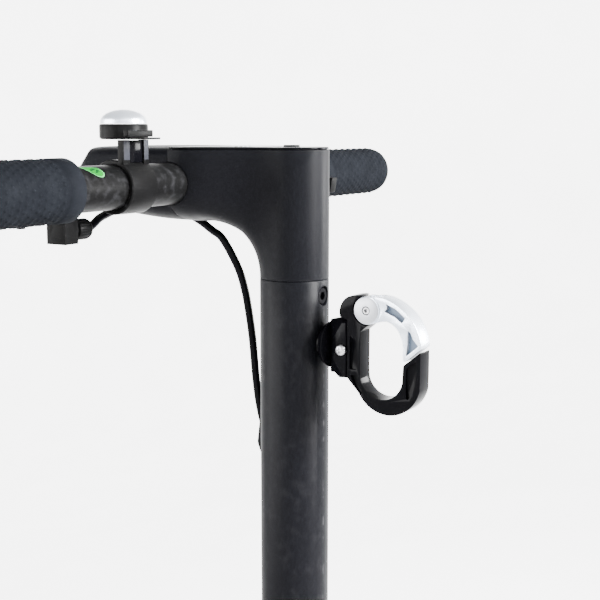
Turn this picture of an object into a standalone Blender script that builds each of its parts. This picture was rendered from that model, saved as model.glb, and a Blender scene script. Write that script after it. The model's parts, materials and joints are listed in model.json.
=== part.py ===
"""Electric kick scooter: folding commuter model with a bag hook on the stem.

Every length below is in millimetres; meshes are written in metres.
World: +Z up, the scooter faces -Y, the rider's left is +X, tyres stand on z = 0.
Steering frame: same X, tilted back by RAKE, origin on the steering axis at axle height.
Head frame: the steering frame moved up the axis to the middle of the handlebar.
"""
import math

import bmesh
import bpy
from mathutils import Matrix, Vector

MM = 0.001
OBJECT_NAME = "electric_kick_scooter"

# ---- Driving dimensions -------------------------------------------------------
RAKE = math.radians(13)
HALF_LENGTH = 547
TYRE_R = 108
TYRE_HALF = 24
TYRE_STEPS = 32
FACET = 180 / TYRE_STEPS
RIM_R = 76
SPOKES = 5
AXLE_Y = 435
FRONT_AXLE_Y = TYRE_R - HALF_LENGTH
STEER_Y = FRONT_AXLE_Y + 20
BAR_T = 1023
GAP = 0.3

DECK_FRONT = -232
DECK_REAR = 296
DECK_HALF = 76
DECK_TOP = 137
DECK_BOTTOM = 97
WALL = 4
CHARGE_PORT = (-205, 117)

TUBE_R = 21.5
TUBE_WALL = 2
SEAM_Z = -58.2
HEAD_TOP = 22.3
PANEL_Z = 20.6
BAR_Y = -62
BAR_R = 12.9
BAR_HALF = 212
GRIP_END = 215
CLAMP_BORE = BAR_R + GAP
NOSE_HALF = 46.5
NOSE_LOW = -24.7
NOSE_POWER = 3
FILLET_R = 33.5
FILLET_Y = 55
BACK_REACH = TUBE_R + FILLET_Y
TOP_REACH = HEAD_TOP - SEAM_Z
SPINE = 0.15
# Sections of the cap: y, lowest z, highest z, half width, roundness below and above
NOSE_SECTIONS = [(BAR_Y - 0.2, NOSE_LOW, HEAD_TOP, NOSE_HALF, NOSE_POWER, 9),
                 (-82, -24.4, HEAD_TOP, 45.5, 3, 9),
                 (-105, -22.6, 22.2, 43, 3, 8), (-125, -19.6, 22, 39, 3, 7), (-138, -16.5, 21.6, 35, 3, 6),
                 (-149, -13.5, 13.5, 30.5, 3, 4), (-155, -11, 9, 25, 2.6, 3)]
NOSE_HOLLOW = [(BAR_Y + 5, -21.7, 19.3, 43, 3, 9), (-82, -21.4, 19.3, 42, 3, 9),
               (-105, -19.6, 19.2, 39.5, 3, 8),
               (-125, -16.6, 19, 35.5, 3, 7), (-141, -12, 14, 30, 3, 4)]

PERCH_SPAN = (74.8, 97.4)
BELL_X = 86
LEVER_PIVOT = (140, -92)
CABLE_HOLE = (-92, -10.5)
CABLE_ROUTE = [(93.2, -84, -24.4), (88, -84.8, -22.2), (81.5, -86, -19.4), (70.2, -88, -16.9),
               (62, -89.6, -15),
               (54, -91.2, -12.4), (44, -92, -10.5), (30, -91, -10.6), (19, -86, -13.5), (12, -78, -18.5),
               (8.5, -66.5, -25.2), (7.3, -58, -30.8), (6.2, -50, -36.6), (4.2, -40, -54), (2, -36.4, -68),
               (0.8, -34.2, -82), (0, -31.8, -101), (0, -29.2, -127), (0, -26, -146), (0, -20.5, -163),
               (0, -12, -182), (0, -8, -215), (0, -8, -420), (0, -8, -640), (0, -4, -734)]

STEER_R = 15
HEAD_TUBE_R = 26
HEAD_TUBE_LOW = 151
HEAD_TUBE_TOP = 222
FOLD_SPLIT = 263
FOLD_PIN = (36, 262)
LATCH_PIN = (-37, 247)
FORK_OFFSET = 19.5
CROWN_SWEEP = 60.5
FENDER_WALL = 2.2
KICKSTAND_STOWED = (0.04, 0.998, -0.04)
TUBE_LOW = 285.2

HOOK_HALF = 6
HOOK_PIVOT = (54.2, -74)
HOOK_SCREW = (37.6, -99.3)

WORLD = Matrix.Identity(4)
STEER = Matrix.Translation((0, STEER_Y, TYRE_R)) @ Matrix.Rotation(-RAKE, 4, "X")
HEAD = STEER @ Matrix.Translation((0, 0, BAR_T))

# ---- Finishes: colour, roughness, metallic -------------------------------------
FINISHES = {
    "powder_coat": ((0.030, 0.032, 0.036), 0.55, 0.2),
    "satin_plastic": ((0.022, 0.023, 0.026), 0.45, 0.0),
    "gloss_black": ((0.006, 0.006, 0.008), 0.12, 0.0),
    "grip_rubber": ((0.035, 0.038, 0.050), 0.75, 0.0),
    "tyre_rubber": ((0.018, 0.018, 0.018), 0.85, 0.0),
    "soft_rubber": ((0.015, 0.015, 0.017), 0.70, 0.0),
    "cast_silver": ((0.62, 0.64, 0.68), 0.30, 0.9),
    "steel": ((0.55, 0.55, 0.56), 0.28, 1.0),
    "black_alloy": ((0.020, 0.020, 0.022), 0.40, 0.6),
    "lens_clear": ((0.85, 0.87, 0.90), 0.08, 0.0),
    "lens_red": ((0.55, 0.01, 0.01), 0.15, 0.0),
    "battery_wrap": ((0.03, 0.06, 0.20), 0.50, 0.0),
}


# ---- Scene ----------------------------------------------------------------------
def new_collection(name):
    collection = bpy.data.collections.new(name)
    bpy.context.scene.collection.children.link(collection)
    return collection


def material(finish):
    found = bpy.data.materials.get(finish)
    if found:
        return found
    colour, roughness, metallic = FINISHES[finish]
    made = bpy.data.materials.new(finish)
    made.use_nodes = True
    shader = made.node_tree.nodes["Principled BSDF"]
    shader.inputs["Base Color"].default_value = (*colour, 1)
    shader.inputs["Roughness"].default_value = roughness
    shader.inputs["Metallic"].default_value = metallic
    return made


def add(name, shape, finish=None, frame=WORLD, origin=(0, 0, 0)):
    """An object from a mesh in millimetres; no finish makes a cutter."""
    centre = frame @ Vector(origin) if origin != (0, 0, 0) else Vector((0, 0, 0))
    shape.transform(Matrix.Scale(MM, 4) @ Matrix.Translation(-centre) @ frame)
    shape.name = name
    made = bpy.data.objects.new(name, shape)
    made.location = centre * MM
    if finish:
        shape.materials.append(material(finish))
        PARTS.objects.link(made)
    else:
        made.display_type = "WIRE"
        made.hide_render = True
        CUTTERS.objects.link(made)
    return made


def combine(part, operation, shapes, frame=WORLD):
    """Booleans on a part, one for each mesh in millimetres."""
    for shape in shapes:
        tool = add(f"{part.name}.{operation.lower()}", shape, None, frame)
        modifier = part.modifiers.new(operation.title(), "BOOLEAN")
        modifier.operation = operation
        modifier.solver = "EXACT"
        modifier.object = tool
    return part


def cut(part, *shapes, frame=WORLD):
    return combine(part, "DIFFERENCE", shapes, frame)


def fuse(part, *shapes, frame=WORLD):
    return combine(part, "UNION", shapes, frame)


def soften(part, width, segments=2, angle=40):
    modifier = part.modifiers.new("Soft edges", "BEVEL")
    modifier.width = width * MM
    modifier.segments = segments
    modifier.limit_method = "ANGLE"
    modifier.angle_limit = math.radians(angle)
    return part


# ---- Shapes: each returns a mesh in millimetres -------------------------------------
AXIS_TURN = {"x": Matrix(((0, 0, 1), (1, 0, 0), (0, 1, 0))).to_4x4(),
             "y": Matrix(((1, 0, 0), (0, 0, 1), (0, 1, 0))).to_4x4(),
             "z": Matrix.Identity(4)}
WELD = 0.001


def arc(centre, radius, start, end, steps):
    """Points of an arc in degrees, both ends included."""
    points = []
    for step in range(steps + 1):
        angle = math.radians(start + (end - start) * step / steps)
        points.append((centre[0] + radius * math.cos(angle), centre[1] + radius * math.sin(angle)))
    return points


def rounded(low, high, radius, steps=3):
    """Rounded rectangle outline between two corners."""
    (u0, v0), (u1, v1) = low, high
    points = arc((u1 - radius, v1 - radius), radius, 0, 90, steps)
    points += arc((u0 + radius, v1 - radius), radius, 90, 180, steps)
    points += arc((u0 + radius, v0 + radius), radius, 180, 270, steps)
    points += arc((u1 - radius, v0 + radius), radius, 270, 360, steps)
    return points


def closed_mesh(work):
    """A welded mesh with its faces pointing out."""
    bmesh.ops.remove_doubles(work, verts=work.verts, dist=WELD)
    bmesh.ops.recalc_face_normals(work, faces=work.faces)
    mesh = bpy.data.meshes.new("shape")
    work.to_mesh(mesh)
    work.free()
    return mesh


def evaluated(maker):
    """The mesh that an object's curve or modifiers make, after which the object goes."""
    bpy.context.scene.collection.objects.link(maker)
    graph = bpy.context.evaluated_depsgraph_get()
    mesh = bpy.data.meshes.new_from_object(maker.evaluated_get(graph))
    bpy.data.objects.remove(maker)
    work = bmesh.new()
    work.from_mesh(mesh)
    bpy.data.meshes.remove(mesh)
    return closed_mesh(work)


def prism(axis, outline, low, high):
    """An outline pushed along an axis."""
    curve = bpy.data.curves.new("outline", "CURVE")
    curve.dimensions = "2D"
    curve.fill_mode = "BOTH"
    curve.extrude = (high - low) / 2
    spline = curve.splines.new("POLY")
    spline.points.add(len(outline) - 1)
    for point, (u, v) in zip(spline.points, outline):
        point.co = (u, v, 0, 1)
    spline.use_cyclic_u = True
    mesh = evaluated(bpy.data.objects.new("outline", curve))
    mesh.transform(AXIS_TURN[axis] @ Matrix.Translation((0, 0, (low + high) / 2)))
    if AXIS_TURN[axis].determinant() < 0:
        mesh.flip_normals()
    return mesh


def box(low, high):
    work = bmesh.new()
    bmesh.ops.create_cube(work, size=1)
    bmesh.ops.scale(work, vec=[b - a for a, b in zip(low, high)], verts=work.verts)
    bmesh.ops.translate(work, vec=[(a + b) / 2 for a, b in zip(low, high)], verts=work.verts)
    return closed_mesh(work)


def rod(axis, centre, radius, low, high, sides=24):
    """A solid cylinder; the centre is given in the two coordinates across the axis."""
    place = AXIS_TURN[axis] @ Matrix.Translation((centre[0], centre[1], (low + high) / 2))
    work = bmesh.new()
    bmesh.ops.create_cone(work, cap_ends=True, segments=sides, radius1=radius, radius2=radius,
                          depth=high - low, matrix=place)
    return closed_mesh(work)


def revolve(axis, centre, profile, steps=32, start=0, sweep=360, thickness=0):
    """A profile of (radius, along) turned about an axis, or an open profile with a wall thickness."""
    poles = profile[0][0] == 0
    mesh = bpy.data.meshes.new("profile")
    turn = Matrix.Rotation(math.radians(start), 4, "Z")
    edges = [(i, i + 1) for i in range(len(profile) - 1)]
    if not poles and not thickness:
        edges.append((len(profile) - 1, 0))
    mesh.from_pydata([turn @ Vector((radius, 0, along)) for radius, along in profile], edges, [])
    maker = bpy.data.objects.new("profile", mesh)
    screw = maker.modifiers.new("Turned", "SCREW")
    screw.angle = math.radians(sweep)
    screw.steps = screw.render_steps = steps
    screw.use_merge_vertices = True
    screw.merge_threshold = 0.0001
    if thickness:
        wall = maker.modifiers.new("Wall", "SOLIDIFY")
        wall.thickness = thickness
        wall.offset = 0
    mesh = evaluated(maker)
    mesh.transform(AXIS_TURN[axis] @ Matrix.Translation((*centre, 0)))
    if AXIS_TURN[axis].determinant() < 0:
        mesh.flip_normals()
    return mesh


def ring(axis, centre, inner, outer, low, high, steps=32):
    return revolve(axis, centre, [(inner, low), (outer, low), (outer, high), (inner, high)], steps)


def loft(rings):
    """Skin over unlike rings of points with flat ends."""
    work = bmesh.new()
    rows = [[work.verts.new(point) for point in points] for points in rings]
    work.faces.new(rows[0])
    work.faces.new(rows[-1])
    for near, far in zip(rows, rows[1:]):
        for j in range(len(near)):
            k = (j + 1) % len(near)
            work.faces.new((near[j], near[k], far[k], far[j]))
    return closed_mesh(work)


def superellipse(half_u, half_v, power, steps=28, upper_power=None):
    """Outline between an ellipse (power 2) and a rectangle, squarer above where asked."""
    points = []
    for step in range(steps):
        angle = 2 * math.pi * (step + 0.5) / steps
        c, s = math.cos(angle), math.sin(angle)
        p = upper_power if upper_power and s > 0 else power
        u = math.copysign(abs(c) ** (2 / p), c) * half_u
        v = math.copysign(abs(s) ** (2 / p), s) * half_v
        points.append((u, v))
    return points


def smooth_path(points, per_span=4):
    """Catmull-Rom curve through the points."""
    knots = [Vector(p) for p in points]
    knots = [2 * knots[0] - knots[1]] + knots + [2 * knots[-1] - knots[-2]]
    curve = []
    for a, b, c, d in zip(knots, knots[1:], knots[2:], knots[3:]):
        for step in range(per_span):
            t = step / per_span
            curve.append(0.5 * (2 * b + (c - a) * t + (2 * a - 5 * b + 4 * c - d) * t ** 2
                                + (3 * b - a - 3 * c + d) * t ** 3))
    curve.append(knots[-2])
    return curve


def tube(path, radius, detail=2):
    """A solid round bar along a path."""
    curve = bpy.data.curves.new("path", "CURVE")
    curve.dimensions = "3D"
    curve.bevel_depth = radius
    curve.bevel_resolution = detail
    curve.use_fill_caps = True
    spline = curve.splines.new("POLY")
    spline.points.add(len(path) - 1)
    for point, place in zip(spline.points, path):
        point.co = (*place, 1)
    return evaluated(bpy.data.objects.new("path", curve))


# ---- Wheels -------------------------------------------------------------------------
def wheel_shapes(axle_y):
    """Tyre with a flattened crown and open beads, resting on a flat patch."""
    side = [(105, 19), (97, 23), (88, TYRE_HALF), (80.5, 21), (79.3, 16.9), (RIM_R + GAP, 16.9)]
    inner = [(RIM_R + GAP, 14), (86, 18.5), (99, 16)]
    half = [(TYRE_R / math.cos(math.pi / TYRE_STEPS), 12)] + side + inner
    mirrored = [(radius, -along) for radius, along in reversed(half)]
    return revolve("x", (axle_y, TYRE_R), half + mirrored, TYRE_STEPS, FACET)


def axle(y, half_length):
    """A bolt with a chamfered nut on each end."""
    end, nut = half_length, half_length - 9
    right = [(0, -end), (8, -end), (9.5, 2 - end), (9.5, -nut), (6, -nut)]
    left = [(radius, -along) for radius, along in reversed(right)]
    return revolve("x", (y, TYRE_R), right + left, 16)


def front_wheel():
    centre = (0, FRONT_AXLE_Y, TYRE_R)
    add("front_tyre", wheel_shapes(FRONT_AXLE_Y), "tyre_rubber", origin=centre)
    left = [(7, 40), (34, 40), (48, 30), (56, 20), (79, 20), (79, 17.3), (RIM_R, 17.3)]
    motor = left + [(radius, -along) for radius, along in reversed(left)]
    add("front_hub_motor", revolve("x", (FRONT_AXLE_Y, TYRE_R), motor, TYRE_STEPS, FACET), "black_alloy",
        origin=centre)
    add("front_axle", axle(FRONT_AXLE_Y, 66), "steel")


def rear_wheel():
    centre = (0, AXLE_Y, TYRE_R)
    add("rear_tyre", wheel_shapes(AXLE_Y), "tyre_rubber", origin=centre)
    disc_seat = [(7, 42), (14, 42), (14, 30), (20, 30)]
    web = [(24, 6), (68, 5), (72, 20), (79, 20), (79, 17.3), (RIM_R, 17.3)]
    right = [(radius, -along) for radius, along in reversed(web)] + [(20, -34), (14, -42), (7, -42)]
    turned = revolve("x", (AXLE_Y, TYRE_R), disc_seat + web + right, TYRE_STEPS, FACET)
    rim = add("rear_rim", turned, "black_alloy", origin=centre)
    windows = []
    for spoke in range(SPOKES):
        angle = math.radians(360 / SPOKES * spoke + 54)
        middle = (AXLE_Y + 47 * math.cos(angle), TYRE_R + 47 * math.sin(angle))
        windows.append(rod("x", middle, 15, -12, 12, 12))
    cut(rim, *windows)
    add("brake_disc", ring("x", (AXLE_Y, TYRE_R), 14.3, 56, 30.6, 32.6, 32), "steel", origin=centre)
    add("rear_axle", axle(AXLE_Y, 70), "steel")


# ---- Deck and frame --------------------------------------------------------------------
def deck():
    outer = [(-DECK_HALF, DECK_BOTTOM), (-DECK_HALF, 132), (-74.5, 135.5), (-71, DECK_TOP)]
    right = [(-x, z) for x, z in reversed(outer)]
    inner = [(DECK_HALF - WALL, DECK_BOTTOM), (DECK_HALF - WALL, DECK_TOP - WALL)]
    inner += [(-x, z) for x, z in reversed(inner)]
    frame = add("deck_frame", prism("y", outer + right + inner, DECK_FRONT, DECK_REAR), "powder_coat")
    cut(frame, rod("x", CHARGE_PORT, 8.5, 60, 90, 20))
    add("deck_mat", prism("z", rounded((-66, -216), (66, 278), 18, 5), DECK_TOP + GAP, 140.4), "soft_rubber")
    floor_pan = rounded((-71.6, DECK_FRONT + 1), (71.6, DECK_REAR - 1), 6)
    cover = add("bottom_cover", prism("z", floor_pan, 94.6, 99.2), "satin_plastic")
    soften(cover, 1)
    battery = add("battery_pack", box((-64, -188, 100), (64, 122, 131)), "battery_wrap")
    soften(battery, 3)
    add("motor_controller", box((-50, 138, 100), (50, 252, 128)), "satin_plastic")
    add("charge_socket", rod("x", CHARGE_PORT, 8.1, 62, 76.2, 20), "steel")
    cap = add("charge_port_cap", rod("x", CHARGE_PORT, 10.5, 76.5, 79.3, 20), "soft_rubber",
              origin=(77.9, CHARGE_PORT[0], CHARGE_PORT[1] + 14.5))
    fuse(cap, box((76.5, -210, 124), (79.3, -200, 130)))


def neck():
    stations = [((-377, 289), (0.627, -0.777), 23, 23, 3), ((-334, 236), (0.627, -0.777), 24, 24, 3),
                ((-262, 150), (0.78, -0.62), 36, 22, 3.4), ((DECK_FRONT - GAP, 118), (1, 0), 64, 18.5, 6)]
    rings = []
    for (y, z), (dy, dz), half_width, half_height, power in stations:
        outline = superellipse(half_width, half_height, power, 24)
        rings.append([(u, y - dz * v, z + dy * v) for u, v in outline])
    part = add("deck_neck", loft(rings), "powder_coat")
    sweep = [(0, 40), (CROWN_SWEEP, 40), (CROWN_SWEEP, 128)]
    sweep += arc((36, 128), CROWN_SWEEP - 36, 15, 90, 5) + [(0, 152.5)]
    cut(part, rod("z", (0, 0), HEAD_TUBE_R + GAP, 90, 300, 40), revolve("z", (0, 0), sweep, 40), frame=STEER)
    sleeve = ring("z", (0, 0), 20.6, HEAD_TUBE_R, HEAD_TUBE_LOW, HEAD_TUBE_TOP, 28)
    add("head_tube", sleeve, "powder_coat", STEER)
    add("lower_bearing", ring("z", (0, 0), STEER_R + GAP, 20.3, 151.5, 160, 24), "steel", STEER)
    add("upper_bearing", ring("z", (0, 0), STEER_R + GAP, 20.3, 213, 221.5, 24), "steel", STEER)


def rear_end():
    outline = [(-60, 452), (-50, 452), (-50, 322), (-42, 314), (42, 314), (50, 322), (50, 452), (60, 452),
               (60, 330), (74, 312), (74, DECK_REAR + GAP), (-74, DECK_REAR + GAP), (-74, 312), (-60, 330)]
    part = add("rear_frame", prism("z", outline, 96, 126), "powder_coat")
    soften(part, 2, 2)
    cut(part, rod("x", (AXLE_Y, TYRE_R), 6.4, -80, 80, 20), rod("y", (45, 118), 3.2, 290, 326, 12))
    section = [(104, -32), (117.5, -32), (121.3, -27.5), (121.3, 27.5), (117.5, 32), (104, 32)]
    end = math.degrees(math.acos((HALF_LENGTH - AXLE_Y) / 122.4))
    shell = revolve("x", (AXLE_Y, TYRE_R), section, 14, end, 160 - end, FENDER_WALL)
    fender = add("rear_fender", shell, "satin_plastic")
    fuse(fender, box((-20, 299, 126.4), (20, 325.4, 130)), box((-20, 321, 127), (20, 325, 152)))
    light_frame = Matrix.Translation((0, AXLE_Y, TYRE_R)) @ Matrix.Rotation(math.radians(38), 4, "X")
    lens = prism("y", rounded((-20, -12), (20, 12), 6), 122.8, 130)
    soften(add("tail_light", lens, "lens_red", light_frame), 2)


def rear_brake():
    body = add("brake_caliper", box((23, 408, 145), (44, 446, 174)), "black_alloy")
    fuse(body, box((38, 414, 126.3), (46, 440, 172)))
    cut(body, box((28.8, 400, 100), (34.4, 460, 166)))
    pivot = (45.5, 427, 164)
    arm_outline = arc((427, 164), 6, 200, 340, 5) + [(431, 170), (424, 196), (419, 196), (421, 166)]
    arm = add("caliper_arm", prism("x", arm_outline, 46.5, 50.5), "steel", origin=pivot)
    soften(arm, 0.6, 1)
    stop = rod("y", (48.5, 186), 4.2, 392, 397, 12)
    fuse(body, stop, box((42, 393, 168), (48, 397, 186)), box((40, 393, 166), (44, 412, 172)))
    route = [(45, 262, 118), (45, 300, 118), (45, 330, 119), (46, 352, 136), (48, 370, 168), (48.5, 382, 184),
             (48.5, 391.6, 186)]
    add("rear_brake_cable", tube(smooth_path(route), 2.5), "gloss_black")


def kickstand():
    pivot, foot = Vector((87, -60, 90)), Vector((132, -72, 6))
    down = (foot - pivot).normalized()
    swing = Vector(KICKSTAND_STOWED).normalized() - down
    sideways = Vector((1, 0, 0))
    axis = (sideways - swing * (sideways.dot(swing) / swing.length_squared)).normalized()
    bracket = add("kickstand_bracket", box((56, -80, 80), (79, -40, 94.2)), "black_alloy")
    soften(bracket, 2)
    turn = Matrix.Translation(pivot) @ axis.to_track_quat("Z", "Y").to_matrix().to_4x4()
    leg = add("kickstand_leg", tube([pivot, pivot + (foot - pivot) * 0.5, foot], 5.5, 4), "black_alloy",
              origin=tuple(pivot))
    fuse(leg, rod("z", (0, 0), 10, -5, 5, 20), frame=turn)
    fuse(leg, prism("z", rounded((121, -84), (143, -58), 8), 0, 9))
    fuse(bracket, rod("z", (0, 0), 8, -14, -5.6, 20), frame=turn)


# ---- Fork and folding joint ---------------------------------------------------------------
def fork():
    outer = [(56, -16)] + arc((34, 128), 22, 0, 90, 4) + arc((-34, 128), 22, 90, 180, 4) + [(-56, -16)]
    inner = [(-46, -16)] + arc((-34, 118), 12, 180, 90, 3) + arc((34, 118), 12, 90, 0, 3) + [(46, -16)]
    shape = prism("y", outer + inner, -16, 16)
    for vertex in shape.vertices:
        share = max(0, (118 - vertex.co.z) / 122)
        vertex.co.y = vertex.co.y * (1 - 0.25 * share) - FORK_OFFSET * share
    part = add("front_fork", shape, "powder_coat", STEER)
    soften(part, 2.5, 2)
    cut(part, rod("x", (FRONT_AXLE_Y, TYRE_R), 6.4, -80, 80, 20))
    cut(part, rod("z", (0, 0), STEER_R + GAP, 134, 160, 24), frame=STEER)
    add("steerer_tube", ring("z", (0, 0), 12, STEER_R, 134.3, 260, 24), "steel", STEER)
    section = [(104, -30), (111.5, -30), (116.3, -25.5), (116.3, 25.5), (111.5, 30), (104, 30)]
    fender = revolve("x", (FRONT_AXLE_Y, TYRE_R), section, 14, 30, 125, FENDER_WALL)
    add("front_fender", fender, "satin_plastic")


def folding_joint():
    base = add("fold_base", ring("z", (0, 0), STEER_R + GAP, 27, 223, 262.6, 28), "black_alloy", STEER)
    lug = arc((FOLD_PIN[0], FOLD_PIN[1]), 9, -60, 150, 8) + [(20, 256), (20, 238), (30, 238)]
    ear = arc(LATCH_PIN, 6.5, 60, 300, 8) + [(-22, 236), (-22, 256)]
    for side in (-1, 1):
        fuse(base, prism("x", lug, min(11 * side, 21 * side), max(11 * side, 21 * side)), frame=STEER)
        fuse(base, prism("x", ear, min(9 * side, 15 * side), max(9 * side, 15 * side)), frame=STEER)
    cut(base, rod("x", FOLD_PIN, 4.3, -40, 40, 20), rod("x", LATCH_PIN, 2.8, -40, 40, 16), frame=STEER)
    pin = [(0, -23.5), (5.5, -23.5), (5.5, -21.4), (4, -21.4), (4, 21.4), (5.5, 21.4), (5.5, 23.5), (0, 23.5)]
    add("fold_hinge_pin", revolve("x", FOLD_PIN, pin, 20), "steel", STEER)

    foot_profile = [(9, FOLD_SPLIT), (26, FOLD_SPLIT), (26, 270), (24.4, 288), (24.4, 316), (23.4, 318),
                    (TUBE_R + GAP, 318), (TUBE_R + GAP, TUBE_LOW - GAP), (9, TUBE_LOW - GAP)]
    foot = add("stem_foot", revolve("z", (0, 0), foot_profile, 28), "black_alloy", STEER)
    web = arc(FOLD_PIN, 8.5, -100, 60, 8) + [(36, 278), (22, 290), (22, 266), (27.2, 265)]
    fuse(foot, prism("x", web, -10.6, 10.6), box((-8, -29.5, 274), (8, -23, 281)), frame=STEER)
    cut(foot, rod("x", FOLD_PIN, 4.3, -40, 40, 20), frame=STEER)

    lever = arc(LATCH_PIN, 6, 150, 390, 10)
    lever += [(-30, 252), (-31, 270), (-31, 281.6), (-27, 281.6), (-28, 287), (-31, 290), (-30, 330)]
    lever += [(-34, 342), (-38, 340), (-37, 326), (-39, 300), (-40, 262)]
    latch = add("fold_latch_lever", prism("x", lever, -8.5, 8.5), "black_alloy", STEER,
                origin=(0, LATCH_PIN[0], LATCH_PIN[1]))
    fuse(latch, rod("x", LATCH_PIN, 2.5, -17, 17, 16), frame=STEER)


# ---- Stem and head ----------------------------------------------------------------------------
def smoothstep(value):
    value = min(1, max(0, value))
    return value * value * (3 - 2 * value)


def head_ring(angle, samples=9):
    """One section of the bent head, on a ray from the centre of the fillet under the nose."""
    across, along = math.cos(angle), math.sin(angle)
    inner = FILLET_R + 2.2 * math.sin(2 * angle)
    outer = min(BACK_REACH / max(across, 0.001), TOP_REACH / max(along, 0.001))
    share = angle / (math.pi / 2)
    widest = FILLET_Y + ((inner + outer) / 2 - FILLET_Y) * share
    power = 2 + (NOSE_POWER - 2) * share
    half = []
    for step in range(2 * samples + 1):
        turn = math.radians(90 * (step - samples) / samples)
        span = outer - widest if step > samples else widest - inner
        v = widest + span * math.sin(turn)
        y = v * across - FILLET_Y
        width = TUBE_R + (NOSE_HALF - TUBE_R) * smoothstep(share * 1.1) * smoothstep(-y / -BAR_Y)
        if step < samples:
            width *= (1 - abs(math.sin(turn)) ** power) ** (1 / power)
        if y > 0:
            width *= math.sqrt(max(0, 1 - (y / TUBE_R) ** 2))
        half.append((max(width, SPINE), y, SEAM_Z + v * along))
    return half + [(-x, y, z) for x, y, z in reversed(half)]


def head_rings():
    corner = math.atan2(TOP_REACH, BACK_REACH)
    angles = [corner * step / 7 for step in range(8)]
    angles += [corner + (math.pi / 2 - corner) * step / 6 for step in range(1, 7)]
    rings = [head_ring(angle) for angle in angles]
    end = head_ring(math.pi / 2)
    rings.append([(x * NOSE_HALF / max(p[0] for p in end), BAR_Y + 0.2, z) for x, y, z in end])
    return rings


def nose_ring(y, low, high, half, power, upper_power):
    outline = superellipse(half, (high - low) / 2, power, 32, upper_power)
    return [(u, y, v + (high + low) / 2) for u, v in outline]


def stem():
    top = SEAM_Z - GAP
    tube_part = add("stem_tube", ring("z", (0, 0), TUBE_R - TUBE_WALL, TUBE_R, TUBE_LOW - BAR_T, top, 40),
                    "powder_coat", HEAD)
    cut(tube_part, prism("y", rounded((-4.6, -176), (4.6, -146.6), 0.8), -30, -10),
        rod("y", (0, -68.4), 5.9, 10, 30, 20), frame=HEAD)

    head = add("stem_head", loft(head_rings()), "powder_coat", HEAD)
    spigot = TUBE_R - TUBE_WALL - GAP
    fuse(head, rod("z", (0, 0), spigot, -92, SEAM_Z + 1, 40), frame=HEAD)
    cut(head, rod("x", (BAR_Y, 0), CLAMP_BORE, -60, 60, 32), box((-60, -70, PANEL_Z), (60, 40, 40)),
        rod("y", (0, -68.4), 5.9, 14, 40, 20), frame=HEAD)
    screw = add("stem_screw", rod("y", (0, -68.4), 5.5, 14.4, 20.4, 20), "steel", HEAD)
    cut(screw, rod("y", (0, -68.4), 2.8, 17.4, 30, 6), frame=HEAD)

    cap = add("head_cap", loft([nose_ring(*section) for section in NOSE_SECTIONS]), "powder_coat", HEAD)
    hollow = [nose_ring(*section) for section in NOSE_HOLLOW]
    cut(cap, loft(hollow), rod("x", (BAR_Y, 0), CLAMP_BORE, -60, 60, 32), rod("x", CABLE_HOLE, 4, 25, 60, 16),
        box((3.5, -80, -34), (15, -50, -14)), frame=HEAD)
    lens = [(0, -155.4), (11, -155.4), (11, -157), (7.5, -159.4), (0, -160)]
    add("headlight_lens", revolve("y", (0, 0.5), lens, 24), "lens_clear", HEAD)

    inset = TUBE_R - 0.4
    outline = arc((0, 0), inset, 90, 0, 8)
    outline += [(inset + (NOSE_HALF - TUBE_R) * smoothstep(-y / -BAR_Y), y) for y in range(-8, -56, -8)]
    outline.append((NOSE_HALF - 0.5, BAR_Y + 0.5))
    outline += [(-x, y) for x, y in reversed(outline[1:])]
    panel = add("display_panel", prism("z", outline, PANEL_Z + GAP, HEAD_TOP), "gloss_black", HEAD)
    cut(panel, rod("z", (0, -2), 5.3, 10, 30, 20), frame=HEAD)
    button = (0, -2, 23)
    add("power_button", rod("z", (0, -2), 5, PANEL_Z + 1.2, 23.4, 20), "satin_plastic", HEAD, origin=button)


# ---- Handlebar and controls ---------------------------------------------------------------------
def grip(name, side, start):
    profile = [(0, 212.6), (CLAMP_BORE, 212.6), (CLAMP_BORE, start), (17.8, start), (17.8, start + 12),
               (17.3, start + 13), (17.3, 205), (16, 211.5), (12.4, 214.4), (0, GRIP_END)]
    add(name, revolve("x", (BAR_Y, 0), [(r, a * side) for r, a in profile], 24), "grip_rubber", HEAD)


def handlebar():
    add("handlebar_tube", ring("x", (BAR_Y, 0), 10.9, BAR_R, -BAR_HALF, BAR_HALF, 32), "black_alloy", HEAD)
    grip("grip_left", 1, 137.1)
    grip("grip_right", -1, 113)


def brake_controls():
    low, high = PERCH_SPAN
    perch = add("lever_perch", ring("x", (BAR_Y, 0), CLAMP_BORE, 15.8, low, high, 32), "satin_plastic", HEAD)
    arm = [(80, -71), (high - 1, -71), (104, -81.5), (149, -81.5), (149, -98), (144, -101), (112, -101),
           (84, -90)]
    fuse(perch, prism("z", arm, -11, -3), box((110.2, -91, -32), (121, -77, -8)),
         box((low, -70, 13), (high, -53, 27)), frame=HEAD)
    cut(perch, rod("z", LEVER_PIVOT, 2.8, -30, 10, 16),
        rod("x", (BAR_Y, 0), CLAMP_BORE, low - 5, high + 5, 32), frame=HEAD)
    blade = arc(LEVER_PIVOT, 8, 100, 270, 8) + [(160, -104.5), (185, -107), (200, -105)]
    blade += arc((203, -100), 5.5, -80, 100, 5) + [(185, -98.5), (160, -95)]
    lever = add("brake_lever", prism("z", blade, -20.6, -11.5), "black_alloy", HEAD,
                origin=(LEVER_PIVOT[0], LEVER_PIVOT[1], -15))
    soften(lever, 1.5, 2)
    fuse(lever, rod("z", LEVER_PIVOT, 2.5, -22, -2, 16), frame=HEAD)
    barrel = [(0, 94.4), (3.4, 94.4), (6.2, 97), (6.2, 106), (4.6, 107), (4.6, 109.8), (0, 109.8)]
    add("barrel_adjuster", revolve("x", (-84, -24.6), barrel, 20), "satin_plastic", HEAD)


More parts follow.
